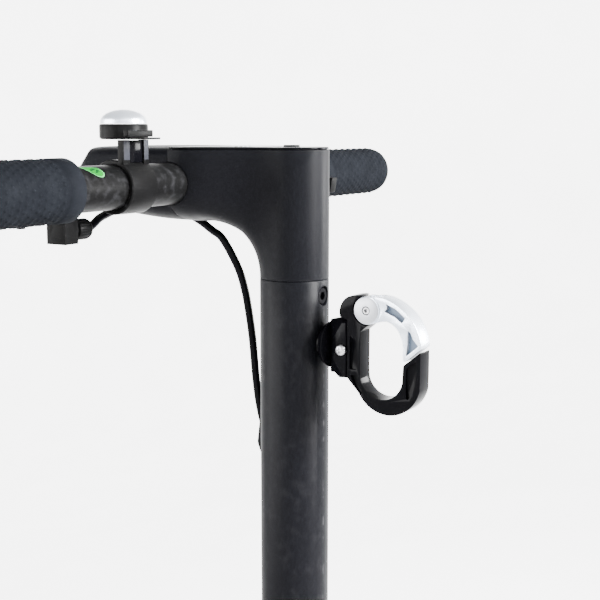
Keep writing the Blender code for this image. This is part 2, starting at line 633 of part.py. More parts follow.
def cable():
    path = smooth_path(CABLE_ROUTE, 2)
    add("brake_cable", tube(path, 2.5), "gloss_black", HEAD)
    outline = [(-18, -147), (-23.2, -147), (-24.6, -158), (-25.6, -167), (-22, -175.6), (-18, -175.6)]
    grommet = add("cable_grommet", prism("x", outline, -4.3, 4.3), "soft_rubber", HEAD)
    cut(grommet, tube([point for point in path if -195 < point.z < -138], 2.8, 4), frame=HEAD)


def bell():
    x = BELL_X
    body = add("bell_body", rod("z", (x, BAR_Y), 14, 27.3, 36, 28), "satin_plastic", HEAD)
    fuse(body, box((x - 6, -54, 27.3), (x + 8, -40, 28.4)), frame=HEAD)
    dome = [(0, 36.3), (13.2, 36.3), (13.2, 38), (11, 41.4), (6.5, 43.6), (0, 44.2)]
    add("bell_cap", revolve("z", (x, BAR_Y), dome, 24), "cast_silver", HEAD)
    outline = arc((x + 2, -43.5), 3.6, 90, 270, 6)
    outline += [(x + 14, -46), (x + 22, -43.5), (x + 22, -40), (x + 14, -40)]
    add("bell_lever", prism("z", outline, 28.8, 32.6), "satin_plastic", HEAD, origin=(x + 2, -43.5, 30))


def throttle():
    add("throttle_housing", ring("x", (BAR_Y, 0), CLAMP_BORE, 17.6, -104, -84, 32), "satin_plastic", HEAD)
    paddle = arc((BAR_Y, 0), 16.4, 20, 320, 16) + [(-48, -12), (-36.4, -11.8), (-34.6, -1.6), (-46, -0.6)]
    lever = add("throttle_lever", prism("x", paddle, -112, -105), "satin_plastic", HEAD,
                origin=(-108.5, BAR_Y, 0))
    cut(lever, rod("x", (BAR_Y, 0), CLAMP_BORE, -120, -100, 32), frame=HEAD)


# ---- Bag hook -----------------------------------------------------------------------------------
def bag_hook():
    middle = (0, -97.3)
    stepped = [(0, 21.7), (7.5, 21.7), (7.5, 24.4), (11.3, 24.4), (11.3, 28), (0, 28)]
    add("hook_washer", revolve("y", middle, stepped, 28), "gloss_black", HEAD)
    block = [(28.3, -81.5), (37, -79.6), (40.9, -81), (40.9, -116.8), (34.5, -117.3), (31, -114.4),
             (28.3, -114.4)]
    bracket = add("hook_bracket", prism("x", block, -7, 7), "gloss_black", HEAD)
    soften(bracket, 1, 2)
    add("hook_screw", rod("x", HOOK_SCREW, 4.4, 7.2, 9.6, 20), "steel", HEAD)

    outer = arc((50, -76.5), 9, 180, 110, 4) + arc(HOOK_PIVOT, 7.5, 90, -50, 7)
    inner_left = [(50.4, -87)] + [(50.2, -110)]
    bowl_inner = arc((64.6, -110), 14.4, 200, 340, 7)
    tip = [(79.3, -104.6), (89.8, -95.6)]
    bowl_outer = [(89.6, -110)] + arc((68.5, -113), 21.4, -15, -150, 8)
    outline = outer + inner_left + bowl_inner + tip + bowl_outer + [(41.3, -116)]
    body = add("hook_body", prism("x", outline, -HOOK_HALF, HOOK_HALF), "gloss_black", HEAD)
    cheek = 2.6
    cut(body, rod("x", HOOK_PIVOT, 9.2, cheek, 12, 30), rod("x", HOOK_PIVOT, 9.2, -12, -cheek, 30),
        rod("x", HOOK_PIVOT, 2.6, -12, 12, 16), frame=HEAD)

    gate = arc(HOOK_PIVOT, 8.4, 75, 285, 12)
    gate += [(62, -80.6), (68, -79.4), (74.5, -83), (78.3, -90), (78.8, -99), (80.6, -102.4), (90.8, -93.7)]
    gate += [(90, -88), (86.8, -80.5), (81.5, -74), (74.5, -69), (66, -65.6)]
    gate_origin = (0, HOOK_PIVOT[0], HOOK_PIVOT[1])
    part = add("hook_gate", prism("x", gate, -HOOK_HALF, HOOK_HALF), "cast_silver", HEAD, origin=gate_origin)
    cut(part, rod("x", HOOK_PIVOT, 12, -3, 3, 28), rod("x", HOOK_PIVOT, 2.6, -12, 12, 16), frame=HEAD)
    pin = add("hook_pivot_pin", rod("x", HOOK_PIVOT, 2.3, -6.4, 6.4, 16), "steel", HEAD)
    cut(pin, rod("x", HOOK_PIVOT, 1.5, 4, 12, 6), frame=HEAD)


for stale in list(bpy.data.objects):
    bpy.data.objects.remove(stale)
PARTS = new_collection(OBJECT_NAME)
CUTTERS = new_collection("cutters")

front_wheel()
rear_wheel()
deck()
neck()
rear_end()
rear_brake()
kickstand()
fork()
folding_joint()
stem()
handlebar()
brake_controls()
cable()
bell()
throttle()
bag_hook()
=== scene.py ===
"""Looks of the electric kick scooter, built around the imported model.

Lengths are in millimetres unless a comment says otherwise. World: +Z up, the scooter
faces -Y, the rider's left is +X. Head frame: same X, tilted back with the steering axis,
origin on that axis at handlebar height.
"""
import json
import math

import bmesh
import bpy
from mathutils import Matrix, Vector


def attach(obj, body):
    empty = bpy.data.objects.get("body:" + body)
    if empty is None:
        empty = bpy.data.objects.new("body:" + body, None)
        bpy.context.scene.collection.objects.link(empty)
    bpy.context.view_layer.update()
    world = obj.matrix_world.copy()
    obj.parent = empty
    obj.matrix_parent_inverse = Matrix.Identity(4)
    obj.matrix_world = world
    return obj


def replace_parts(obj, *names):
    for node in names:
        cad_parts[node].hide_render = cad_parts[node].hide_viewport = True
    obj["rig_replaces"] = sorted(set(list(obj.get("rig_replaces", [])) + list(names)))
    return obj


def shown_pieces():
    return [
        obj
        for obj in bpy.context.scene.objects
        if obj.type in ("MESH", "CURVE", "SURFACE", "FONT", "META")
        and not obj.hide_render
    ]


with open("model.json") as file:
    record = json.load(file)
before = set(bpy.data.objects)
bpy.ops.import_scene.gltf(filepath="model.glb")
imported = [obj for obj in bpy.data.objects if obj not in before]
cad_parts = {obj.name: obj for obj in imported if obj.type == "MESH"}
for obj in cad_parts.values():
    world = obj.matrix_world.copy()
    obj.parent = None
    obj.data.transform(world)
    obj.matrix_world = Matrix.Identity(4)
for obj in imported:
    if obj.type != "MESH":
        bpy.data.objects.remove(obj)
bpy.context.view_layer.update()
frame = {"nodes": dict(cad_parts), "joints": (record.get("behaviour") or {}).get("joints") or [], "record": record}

# ---- Dimensions from the CAD ----
MM = 0.001
JOINTS = {joint["name"]: joint for joint in frame["joints"]}
TUBE_R = 21.5
TUBE_WALL = 2.0
TUBE_LOW = -737.8
SEAM_Z = -58.2
HEAD_TOP = 22.3
PANEL_Z = 20.6
BAR_Y = -62.0
BAR_R = 12.9
BAR_HALF = 212.0
GRIP_END = 215.0
GAP = 0.3
CLAMP_BORE = BAR_R + GAP
NOSE_HALF = 46.5
NOSE_LOW = -24.7
NOSE_POWER = 3.0
FILLET_R = 33.5
FILLET_Y = 55.0
BACK_REACH = TUBE_R + FILLET_Y
TOP_REACH = HEAD_TOP - SEAM_Z
SPINE = 0.15
CABLE_HOLE = (-92, -10.5)
CABLE_R = 2.5
CABLE_ROUTE = [
    (93.2, -84, -24.4), (88, -84.8, -22.2), (81.5, -86, -19.4), (70.2, -88, -16.9), (62, -89.6, -15),
    (54, -91.2, -12.4), (44, -92, -10.5), (30, -91, -10.6), (19, -86, -13.5), (12, -78, -18.5),
    (8.5, -66.5, -25.2), (7.3, -58, -30.8), (6.2, -50, -36.6), (4.2, -40, -54), (2, -36.4, -68),
    (0.8, -34.2, -82), (0, -31.8, -101), (0, -29.2, -127), (0, -26, -146), (0, -20.5, -163),
    (0, -12, -182), (0, -8, -215), (0, -8, -420), (0, -8, -640), (0, -4, -734),
]
LEVER_PIVOT = (140, -92)
PERCH_SPAN = (74.8, 97.4)
BELL_X = 86
BARREL_AT = (-84, -24.6)
STEM_SCREW_AT = (0, -68.4)
WASHER_AT = (0, -97.3)
HOOK_SCREW_AT = (37.6, -99.3)
POLE = 0.01
TYRE_R = 108.0
RIM_R = 76.0
AXLE_Y = 435.0
FRONT_AXLE_Y = -439.0
HOOK_HALF = 6.0
HOOK_PIVOT = (54.2, -74.0)

UP = Vector(JOINTS["steering"]["axis"])
RAKE = math.atan2(UP.y, UP.z)
TILT = Matrix.Rotation(-RAKE, 4, "X")
HEAD_ORIGIN = Vector(JOINTS["hook_gate"]["pos_m"]) / MM - TILT @ Vector((0, *HOOK_PIVOT))
HEAD = Matrix.Translation(HEAD_ORIGIN) @ TILT
WORLD = Matrix.Identity(4)


# ---- Materials ----
class Nodes:
    """Short calls for building one node material."""

    def __init__(self, name):
        self.material = bpy.data.materials.new(name)
        self.material.use_nodes = True
        self.tree = self.material.node_tree
        self.shader = self.tree.nodes["Principled BSDF"]
        self.place = self.tree.nodes.new("ShaderNodeTexCoord").outputs["Object"]

    def node(self, kind, **values):
        made = self.tree.nodes.new(kind)
        for key, value in values.items():
            if key in made.inputs:
                made.inputs[key].default_value = value
            else:
                setattr(made, key, value)
        return made

    def link(self, source, target):
        self.tree.links.new(source, target)

    def noise(self, scale, detail=2.0, roughness=0.5, distortion=0.0):
        made = self.node("ShaderNodeTexNoise", Scale=scale, Detail=detail, Roughness=roughness,
                         Distortion=distortion)
        self.link(self.place, made.inputs["Vector"])
        return made.outputs["Fac"]

    def cells(self, scale, feature="F1"):
        made = self.node("ShaderNodeTexVoronoi", Scale=scale, feature=feature)
        self.link(self.place, made.inputs["Vector"])
        return made.outputs["Distance"]

    def spread(self, source, low, high, start=0.0, end=1.0):
        made = self.node("ShaderNodeMapRange")
        made.inputs["From Min"].default_value = start
        made.inputs["From Max"].default_value = end
        made.inputs["To Min"].default_value = low
        made.inputs["To Max"].default_value = high
        self.link(source, made.inputs["Value"])
        return made.outputs["Result"]

    def colours(self, source, stops):
        made = self.node("ShaderNodeValToRGB")
        ramp = made.color_ramp
        while len(ramp.elements) < len(stops):
            ramp.elements.new(0.5)
        for element, (position, colour) in zip(ramp.elements, stops):
            element.position = position
            element.color = (*colour, 1)
        self.link(source, made.inputs["Fac"])
        return made.outputs["Color"]

    def mix(self, factor, first, second, blend="MIX"):
        made = self.node("ShaderNodeMix", data_type="RGBA", blend_type=blend)
        for socket, value in ((made.inputs[0], factor), (made.inputs[6], first), (made.inputs[7], second)):
            if isinstance(value, (int, float)):
                socket.default_value = value
            elif isinstance(value, tuple):
                socket.default_value = (*value, 1)
            else:
                self.link(value, socket)
        return made.outputs[2]

    def maths(self, operation, first, second=0.5):
        made = self.node("ShaderNodeMath", operation=operation)
        for socket, value in zip(made.inputs, (first, second)):
            if isinstance(value, (int, float)):
                socket.default_value = value
            else:
                self.link(value, socket)
        return made.outputs[0]

    def bump(self, height, distance, strength=1.0, below=None):
        made = self.node("ShaderNodeBump", Strength=strength, Distance=distance)
        self.link(height, made.inputs["Height"])
        if below:
            self.link(below, made.inputs["Normal"])
        return made.outputs["Normal"]

    def edges(self, start=0.52, end=0.62):
        """High on convex edges."""
        return self.spread(self.node("ShaderNodeNewGeometry").outputs["Pointiness"], 0.0, 1.0, start, end)

    def finish(self, colour, roughness, normal=None, **values):
        for name, source in (("Base Color", colour), ("Roughness", roughness), ("Normal", normal)):
            if source is None:
                continue
            if isinstance(source, (int, float)):
                self.shader.inputs[name].default_value = source
            elif isinstance(source, tuple):
                self.shader.inputs[name].default_value = (*source, 1)
            else:
                self.link(source, self.shader.inputs[name])
        for name, value in values.items():
            self.shader.inputs[name.replace("_", " ")].default_value = value
        return self.material


def powder_coat(name="look_powder_coat", shine=0.018):
    """Black paint with metallic flakes and a fine orange-peel grain."""
    n = Nodes(name)
    flakes = n.cells(1700.0)
    patches = n.noise(900.0, 3.0)
    base = n.colours(patches, [(0.3, (0.0008, 0.0008, 0.0011)), (0.7, (0.0016, 0.0017, 0.0022))])
    sparkle = n.spread(flakes, 1.0, 0.0, 0.02, 0.34)
    colour = n.mix(n.maths("MULTIPLY", sparkle, 0.22), base, (0.012, 0.013, 0.016))
    worn = n.maths("MULTIPLY", n.edges(0.54, 0.64), n.spread(n.noise(160.0, 4.0), 0.0, 0.4, 0.5, 0.8))
    colour = n.mix(worn, colour, (0.040, 0.040, 0.042))
    rough = n.spread(n.noise(40.0, 3.0), 0.33, 0.40, 0.3, 0.7)
    soft = n.node("ShaderNodeBevel", samples=4, Radius=0.0006).outputs["Normal"]
    peel = n.bump(n.noise(2600.0, 2.0), 0.00006, 0.35, soft)
    normal = n.bump(flakes, 0.00010, 0.28, peel)
    return n.finish(colour, rough, normal, Specular_IOR_Level=shine)


def satin_plastic(name="look_satin_plastic", tone=0.0014, low=0.31, high=0.36):
    n = Nodes(name)
    grain = n.noise(2400.0, 3.0, 0.6)
    shade = n.noise(60.0, 3.0)
    colour = n.colours(shade, [(0.3, (tone * 0.9,) * 3), (0.75, (tone * 1.12, tone * 1.14, tone * 1.2))])
    scuffs = n.maths("MULTIPLY", n.edges(0.54, 0.64), n.spread(n.noise(220.0, 4.0), 0.0, 0.3, 0.5, 0.8))
    colour = n.mix(scuffs, colour, (0.020, 0.020, 0.022))
    rough = n.spread(n.noise(120.0, 4.0), low, high, 0.2, 0.8)
    return n.finish(colour, rough, n.bump(grain, 0.00006, 0.45), Specular_IOR_Level=0.012)


def black_alloy():
    n = Nodes("look_black_alloy")
    grain = n.noise(1500.0, 4.0, 0.7)
    colour = n.colours(n.noise(50.0, 3.0), [(0.3, (0.004, 0.004, 0.0046)), (0.8, (0.008, 0.008, 0.0092))])
    worn = n.maths("MULTIPLY", n.edges(0.53, 0.62), n.spread(n.noise(180.0, 5.0), 0.0, 0.5, 0.5, 0.8))
    colour = n.mix(worn, colour, (0.09, 0.09, 0.094))
    rough = n.spread(grain, 0.30, 0.44, 0.3, 0.7)
    return n.finish(colour, rough, n.bump(grain, 0.00008, 0.4), Metallic=0.05, Specular_IOR_Level=0.03)


def gloss_black():
    n = Nodes("look_gloss_black")
    colour = n.colours(n.noise(35.0, 3.0), [(0.3, (0.0005, 0.0005, 0.0007)), (0.8, (0.0010, 0.0010, 0.0013))])
    rough = n.spread(n.noise(140.0, 5.0, 0.7), 0.10, 0.18, 0.35, 0.75)
    normal = n.bump(n.noise(260.0, 2.0), 0.00008, 0.10)
    return n.finish(colour, rough, normal, Specular_IOR_Level=0.016)


def grip_rubber():
    n = Nodes("look_grip_rubber")
    grain = n.noise(3000.0, 3.0, 0.65)
    colour = n.colours(n.noise(90.0, 4.0), [(0.3, (0.0017, 0.0019, 0.0024)), (0.8, (0.0027, 0.0030, 0.0037))])
    rubbed = n.maths("MULTIPLY", n.edges(0.52, 0.60), 0.35)
    colour = n.mix(rubbed, colour, (0.0055, 0.006, 0.0072))
    rough = n.spread(n.noise(200.0, 3.0), 0.52, 0.70, 0.3, 0.7)
    return n.finish(colour, rough, n.bump(grain, 0.00010, 0.5), Specular_IOR_Level=0.002)


def soft_rubber():
    n = Nodes("look_soft_rubber")
    colour = n.colours(n.noise(70.0, 4.0), [(0.3, (0.0020, 0.0020, 0.0023)), (0.8, (0.0042, 0.0042, 0.0047))])
    dust = n.spread(n.noise(18.0, 5.0, 0.7), 0.0, 0.22, 0.55, 0.85)
    colour = n.mix(dust, colour, (0.020, 0.0195, 0.018))
    rough = n.spread(n.noise(300.0, 3.0), 0.60, 0.80, 0.3, 0.7)
    return n.finish(colour, rough, n.bump(n.noise(1800.0, 4.0, 0.6), 0.00015, 0.5), Specular_IOR_Level=0.006)


def tyre_rubber():
    n = Nodes("look_tyre_rubber")
    shade = n.noise(45.0, 5.0, 0.65)
    colour = n.colours(shade, [(0.3, (0.004, 0.004, 0.004)), (0.8, (0.0085, 0.0083, 0.008))])
    dust = n.spread(n.noise(14.0, 6.0, 0.7), 0.0, 0.45, 0.48, 0.80)
    colour = n.mix(dust, colour, (0.022, 0.021, 0.019))
    rough = n.spread(n.noise(160.0, 3.0), 0.68, 0.90, 0.3, 0.7)
    return n.finish(colour, rough, n.bump(n.noise(1200.0, 4.0, 0.6), 0.00020, 0.6), Specular_IOR_Level=0.006)


def cast_silver(name="look_cast_silver", dark=(0.26, 0.285, 0.325), light=(0.38, 0.405, 0.445),
                low=0.24, high=0.38):
    n = Nodes(name)
    grain = n.noise(1400.0, 4.0, 0.6)
    colour = n.colours(n.noise(60.0, 3.0), [(0.3, dark), (0.8, light)])
    rough = n.spread(grain, low, high, 0.3, 0.7)
    return n.finish(colour, rough, n.bump(grain, 0.00010, 0.35), Metallic=0.85)


def bare_steel():
    n = Nodes("look_bare_steel")
    stretched = n.node("ShaderNodeMapping")
    stretched.inputs["Scale"].default_value = (1.0, 14.0, 14.0)
    n.link(n.place, stretched.inputs["Vector"])
    brushed = n.node("ShaderNodeTexNoise", Scale=220.0, Detail=5.0)
    n.link(stretched.outputs[0], brushed.inputs["Vector"])
    colour = n.colours(n.noise(80.0, 4.0), [(0.3, (0.15, 0.15, 0.155)), (0.8, (0.28, 0.28, 0.29))])
    rough = n.spread(brushed.outputs["Fac"], 0.20, 0.40, 0.3, 0.7)
    return n.finish(colour, rough, n.bump(brushed.outputs["Fac"], 0.00005, 0.4), Metallic=1.0)


def painted(name, dark, light, low=0.30, high=0.42, shine=0.15):
    n = Nodes(name)
    colour = n.colours(n.noise(60.0, 4.0), [(0.3, dark), (0.8, light)])
    rough = n.spread(n.noise(300.0, 3.0), low, high, 0.3, 0.7)
    return n.finish(colour, rough, n.bump(n.noise(1400.0, 2.0), 0.00004, 0.3), Specular_IOR_Level=shine)


def lens(name, tint, clearness):
    n = Nodes(name)
    ribs = n.node("ShaderNodeTexWave", Scale=90.0, Distortion=0.0)
    n.link(n.place, ribs.inputs["Vector"])
    colour = n.colours(n.noise(120.0, 2.0), [(0.3, tuple(c * 0.85 for c in tint)), (0.8, tint)])
    rough = n.spread(n.noise(200.0, 3.0), 0.04, 0.12, 0.3, 0.7)
    return n.finish(colour, rough, n.bump(ribs.outputs["Fac"], 0.0003, 0.35), Transmission_Weight=clearness)


LOOKS = {
    "powder_coat": powder_coat(),
    "black_alloy": black_alloy(),
    "satin_plastic": satin_plastic(),
    "gloss_black": gloss_black(),
    "grip_rubber": grip_rubber(),
    "soft_rubber": soft_rubber(),
    "tyre_rubber": tyre_rubber(),
    "cast_silver": cast_silver(),
    "steel": bare_steel(),
    "battery_wrap": painted("look_battery_wrap", (0.02, 0.05, 0.18), (0.03, 0.07, 0.24)),
    "lens_clear": lens("look_lens_clear", (0.55, 0.57, 0.60), 0.75),
    "lens_red": lens("look_lens_red", (0.22, 0.004, 0.003), 0.25),
}
STICKER_GREEN = painted("look_sticker_green", (0.0001, 0.048, 0.004), (0.0002, 0.062, 0.006),
                        0.30, 0.38, 0.01)
CAP_COAT = powder_coat("look_cap_coat", 0.004)
BATTERY_LIGHT = painted("look_battery_light", (0.10, 0.12, 0.13), (0.20, 0.22, 0.23))
BOSS_SILVER = cast_silver("look_boss_silver", (0.16, 0.166, 0.178), (0.22, 0.226, 0.24), 0.34, 0.50)
TRIM_GREY = painted("look_trim_grey", (0.0065, 0.0068, 0.0085), (0.0105, 0.011, 0.0135), 0.35, 0.5, 0.02)
# Blue-grey for plates in the gate's pockets: painted shade, darker than the gate, for the recesses.
POCKET_PAINTED_SHADE = painted("look_pocket_shade", (0.030, 0.042, 0.060), (0.055, 0.072, 0.100), 0.3, 0.5)
MARK_DARK = painted("look_sticker_mark", (0.001, 0.010, 0.003), (0.002, 0.016, 0.005))
STICKER_EDGE = painted("look_sticker_edge", (0.022, 0.110, 0.034), (0.032, 0.140, 0.046), 0.30, 0.38, 0.01)


# ---- Shapes ----
def arc(centre, radius, start, end, steps):
    """Points of an arc in degrees, both ends included."""
    points = []
    for step in range(steps + 1):
        angle = math.radians(start + (end - start) * step / steps)
        points.append((centre[0] + radius * math.cos(angle), centre[1] + radius * math.sin(angle)))
    return points


def circle(centre, radius, steps):
    return arc(centre, radius, 0, 360 - 360 / steps, steps - 1)


def lay(axis, u, v, along):
    """A point from two outline coordinates and one along the axis."""
    return {"x": (along, u, v), "y": (u, along, v), "z": (u, v, along)}[axis]


def prism(axis, outline, low, high):
    count = len(outline)
    vertices = [lay(axis, u, v, low) for u, v in outline]
    vertices += [lay(axis, u, v, high) for u, v in outline]
    faces = [tuple(range(count)), tuple(range(2 * count - 1, count - 1, -1))]
    faces += [(i, (i + 1) % count, count + (i + 1) % count, count + i) for i in range(count)]
    return vertices, faces


def box(low, high):
    outline = [(low[0], low[1]), (high[0], low[1]), (high[0], high[1]), (low[0], high[1])]
    return prism("z", outline, low[2], high[2])


def rounded(low, high, radius, steps=6):
    (u0, v0), (u1, v1) = low, high
    points = arc((u1 - radius, v1 - radius), radius, 0, 90, steps)
    points += arc((u0 + radius, v1 - radius), radius, 90, 180, steps)
    points += arc((u0 + radius, v0 + radius), radius, 180, 270, steps)
    points += arc((u1 - radius, v0 + radius), radius, 270, 360, steps)
    return points


def rod(axis, centre, radius, low, high, sides=64):
    return prism(axis, circle(centre, radius, sides), low, high)


def grid(rows, closed_rows=False, caps=True):
    """Skin over rings of points, each ring closed on itself."""
    count = len(rows[0])
    vertices = [tuple(point) for row in rows for point in row]
    faces = []
    spans = len(rows) if closed_rows else len(rows) - 1
    for i in range(spans):
        a, b = i * count, (i + 1) % len(rows) * count
        faces += [(a + j, a + (j + 1) % count, b + (j + 1) % count, b + j) for j in range(count)]
    if caps and not closed_rows:
        faces.append(tuple(range(count)))
        faces.append(tuple(range(len(vertices) - count, len(vertices))))
    return vertices, faces


def revolve(axis, centre, profile, steps=96, closed=True):
    """A profile of (radius, along) turned about an axis."""
    rows = [[lay(axis, u, v, along) for u, v in circle(centre, radius, steps)] for radius, along in profile]
    return grid(rows, closed_rows=closed)


def superellipse(half_u, half_v, power, steps, upper_power=None):
    """Outline between an ellipse (power 2) and a rectangle, squarer above where asked."""
    points = []
    for step in range(steps):
        angle = 2 * math.pi * (step + 0.5) / steps
        c, s = math.cos(angle), math.sin(angle)
        p = upper_power if upper_power and s > 0 else power
        u = math.copysign(abs(c) ** (2 / p), c) * half_u
        v = math.copysign(abs(s) ** (2 / p), s) * half_v
        points.append((u, v))
    return points


def smooth_path(points, per_span=8):
    """Catmull-Rom curve through points of any dimension."""
    knots = [Vector(p) for p in points]
    knots = [2 * knots[0] - knots[1]] + knots + [2 * knots[-1] - knots[-2]]
    curve = []
    for a, b, c, d in zip(knots, knots[1:], knots[2:], knots[3:]):
        for step in range(per_span):
            t = step / per_span
            curve.append(0.5 * (2 * b + (c - a) * t + (2 * a - 5 * b + 4 * c - d) * t ** 2
                                + (3 * b - a - 3 * c + d) * t ** 3))
    curve.append(knots[-2])
    return curve


def tube(path, radius, sides=20):
    rows = []
    side = Vector((1, 0, 0))
    for i, point in enumerate(path):
        ahead = (path[min(i + 1, len(path) - 1)] - path[max(i - 1, 0)]).normalized()
        side = side - ahead * side.dot(ahead)
        if side.length < 0.1:
            side = ahead.orthogonal()
        side.normalize()
        up = ahead.cross(side)
        rows.append([point + side * u + up * v for u, v in circle((0, 0), radius, sides)])
    return grid(rows)


# ---- Pieces ----
def raw(name, shape, space=HEAD):
    """An object from a shape in millimetres, not yet a piece."""
    vertices, faces = shape
    mesh = bpy.data.meshes.new(name)
    mesh.from_pydata([(space @ Vector(v)) * MM for v in vertices], [], faces)
    work = bmesh.new()
    work.from_mesh(mesh)
    bmesh.ops.recalc_face_normals(work, faces=work.faces)
    work.to_mesh(mesh)
    work.free()
    made = bpy.data.objects.new(name, mesh)
    bpy.context.scene.collection.objects.link(made)
    return made


def baked(obj):
    """The object's modifiers worked into its mesh."""
    bpy.context.view_layer.update()
    evaluated = obj.evaluated_get(bpy.context.evaluated_depsgraph_get())
    mesh = bpy.data.meshes.new_from_object(evaluated)
    obj.modifiers.clear()
    obj.data = mesh
    return obj


def boolean(obj, operation, shapes, space=HEAD):
    tools = []
    for shape in shapes:
        tool = raw(obj.name + "_tool", shape, space) if isinstance(shape, tuple) else shape
        modifier = obj.modifiers.new(operation, "BOOLEAN")
        modifier.operation = operation
        modifier.solver = "EXACT"
        modifier.object = tool
        tools.append(tool)
    baked(obj)
    for tool in tools:
        bpy.data.objects.remove(tool)
    return obj


def carve(obj, *shapes, space=HEAD):
    return boolean(obj, "DIFFERENCE", shapes, space)


def join(obj, *shapes, space=HEAD):
    return boolean(obj, "UNION", shapes, space)


def bevelled(obj, width, segments=3, angle=35):
    modifier = obj.modifiers.new("Edges", "BEVEL")
    modifier.width = width * MM
    modifier.segments = segments
    modifier.limit_method = "ANGLE"
    modifier.angle_limit = math.radians(angle)
    modifier.miter_outer = "MITER_ARC"
    modifier.harden_normals = False
    return baked(obj)


def shaded(obj, angle=38):
    obj.data.polygons.foreach_set("use_smooth", [True] * len(obj.data.polygons))
    obj.data.set_sharp_from_angle(angle=math.radians(angle))
    return obj


def piece(obj, slot, body, *stands_for, look=None, angle=38):
    """Finishes an object as a piece of the scooter."""
    obj.data.materials.clear()
    obj.data.materials.append(look or LOOKS[slot])
    shaded(obj, angle)
    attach(obj, body)
    if stands_for:
        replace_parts(obj, *stands_for)
    return obj


BODY_OF = {node: body for body, nodes in frame["record"]["behaviour"]["bodies"].items() for node in nodes}
SLOT_OF = {entry["node"]: entry["material_slot"] for entry in frame["record"]["subparts"]}


def softened(node, width=0.5, segments=2, look=None):
    """A CAD node redrawn with rounded edges and smooth shading."""
    made = bpy.data.objects.new(node + "_finished", frame["nodes"][node].data.copy())
    bpy.context.scene.collection.objects.link(made)
    work = bmesh.new()
    work.from_mesh(made.data)
    bmesh.ops.remove_doubles(work, verts=work.verts, dist=1e-6)
    bmesh.ops.dissolve_limit(work, angle_limit=math.radians(1.0), verts=work.verts, edges=work.edges)
    work.to_mesh(made.data)
    work.free()
    bevelled(made, width, segments, 32)
    return piece(made, SLOT_OF[node], BODY_OF[node], node, look=look)


# ---- Stem tube, head and cap ----
def smoothstep(value):
    value = min(1, max(0, value))
    return value * value * (3 - 2 * value)


def head_ring(angle, samples=40):
    """One section of the bent head, on a ray from the centre of the fillet under the nose."""
    across, along = math.cos(angle), math.sin(angle)
    inner = FILLET_R + 2.2 * math.sin(2 * angle)
    outer = min(BACK_REACH / max(across, 0.001), TOP_REACH / max(along, 0.001))
    share = angle / (math.pi / 2)
    widest = FILLET_Y + ((inner + outer) / 2 - FILLET_Y) * share
    power = 2 + (NOSE_POWER - 2) * share
    half = []
    for step in range(2 * samples + 1):
        turn = math.radians(90 * (step - samples) / samples)
        span = outer - widest if step > samples else widest - inner
        v = widest + span * math.sin(turn)
        y = v * across - FILLET_Y
        width = TUBE_R + (NOSE_HALF - TUBE_R) * smoothstep(share * 1.1) * smoothstep(-y / -BAR_Y)
        if step < samples:
            width *= (1 - abs(math.sin(turn)) ** power) ** (1 / power)
        if y > 0:
            width *= math.sqrt(max(0, 1 - (y / TUBE_R) ** 2))
        half.append((max(width, SPINE), y, SEAM_Z + v * along))
    return half + [(-x, y, z) for x, y, z in reversed(half)]


def head_rings():
    corner = math.atan2(TOP_REACH, BACK_REACH)
    angles = [corner * step / 24 for step in range(25)]
    angles += [corner + (math.pi / 2 - corner) * step / 20 for step in range(1, 21)]
    rings = [head_ring(angle) for angle in angles]
    end = head_ring(math.pi / 2)
    rings.append([(x * NOSE_HALF / max(p[0] for p in end), BAR_Y + 0.2, z) for x, y, z in end])
    return rings


def nose_ring(y, low, high, half, power, upper_power):
    outline = superellipse(half, (high - low) / 2, power, 128, upper_power)
    return [(u, y, v + (high + low) / 2) for u, v in outline]


def finer(sections, steps=5):
    """Sections between the given ones, on a smooth curve."""
    return [tuple(section) for section in smooth_path(sections, steps)]


NOSE_SECTIONS = [(BAR_Y - 0.2, NOSE_LOW, HEAD_TOP, NOSE_HALF, 3, 9), (-82, -24.4, HEAD_TOP, 45.5, 3, 9),
                 (-105, -22.6, 22.2, 43, 3, 8), (-125, -19.6, 22, 39, 3, 7), (-138, -16.5, 21.6, 35, 3, 6)]
NOSE_TIP = [(-138, -16.5, 21.6, 35, 3, 6), (-149, -13.5, 13.5, 30.5, 3, 4), (-155, -11, 9, 25, 2.6, 3)]
NOSE_HOLLOW = [(BAR_Y + 5, -21.7, 19.3, 43, 3, 9), (-82, -21.4, 19.3, 42, 3, 9),
               (-105, -19.6, 19.2, 39.5, 3, 8), (-125, -16.6, 19, 35.5, 3, 7), (-141, -12, 14, 30, 3, 4)]


def stem_tube():
    top = SEAM_Z - GAP
    inside = TUBE_R - TUBE_WALL
    profile = [(inside, TUBE_LOW), (TUBE_R - 0.4, TUBE_LOW), (TUBE_R, TUBE_LOW + 0.4), (TUBE_R, top - 0.6),
               (TUBE_R - 0.2, top - 0.12), (TUBE_R - 0.6, top), (inside, top)]
    pole = raw("stem_tube_finished", revolve("z", (0, 0), profile, 160))
    countersink = [(POLE, 8), (5.75, 8), (5.75, TUBE_R - 1.2), (7.2, TUBE_R + 2), (POLE, TUBE_R + 2)]
    carve(pole, prism("y", rounded((-4.6, -176), (4.6, -146.6), 0.8), -30, -10),
          revolve("y", STEM_SCREW_AT, countersink, 64))
    piece(pole, "powder_coat", "stem", "stem_tube")


def stem_head():
    head = raw("stem_head_finished", grid(head_rings()))
    spigot = TUBE_R - TUBE_WALL - GAP
    join(head, rod("z", (0, 0), spigot, -92, SEAM_Z + 1, 96))
    carve(head, rod("x", (BAR_Y, 0), CLAMP_BORE, -60, 60, 96), box((-60, -70, PANEL_Z), (60, 40, 40)),
          rod("y", STEM_SCREW_AT, 5.9, 14, 40, 48))
    piece(head, "powder_coat", "stem", "stem_head")


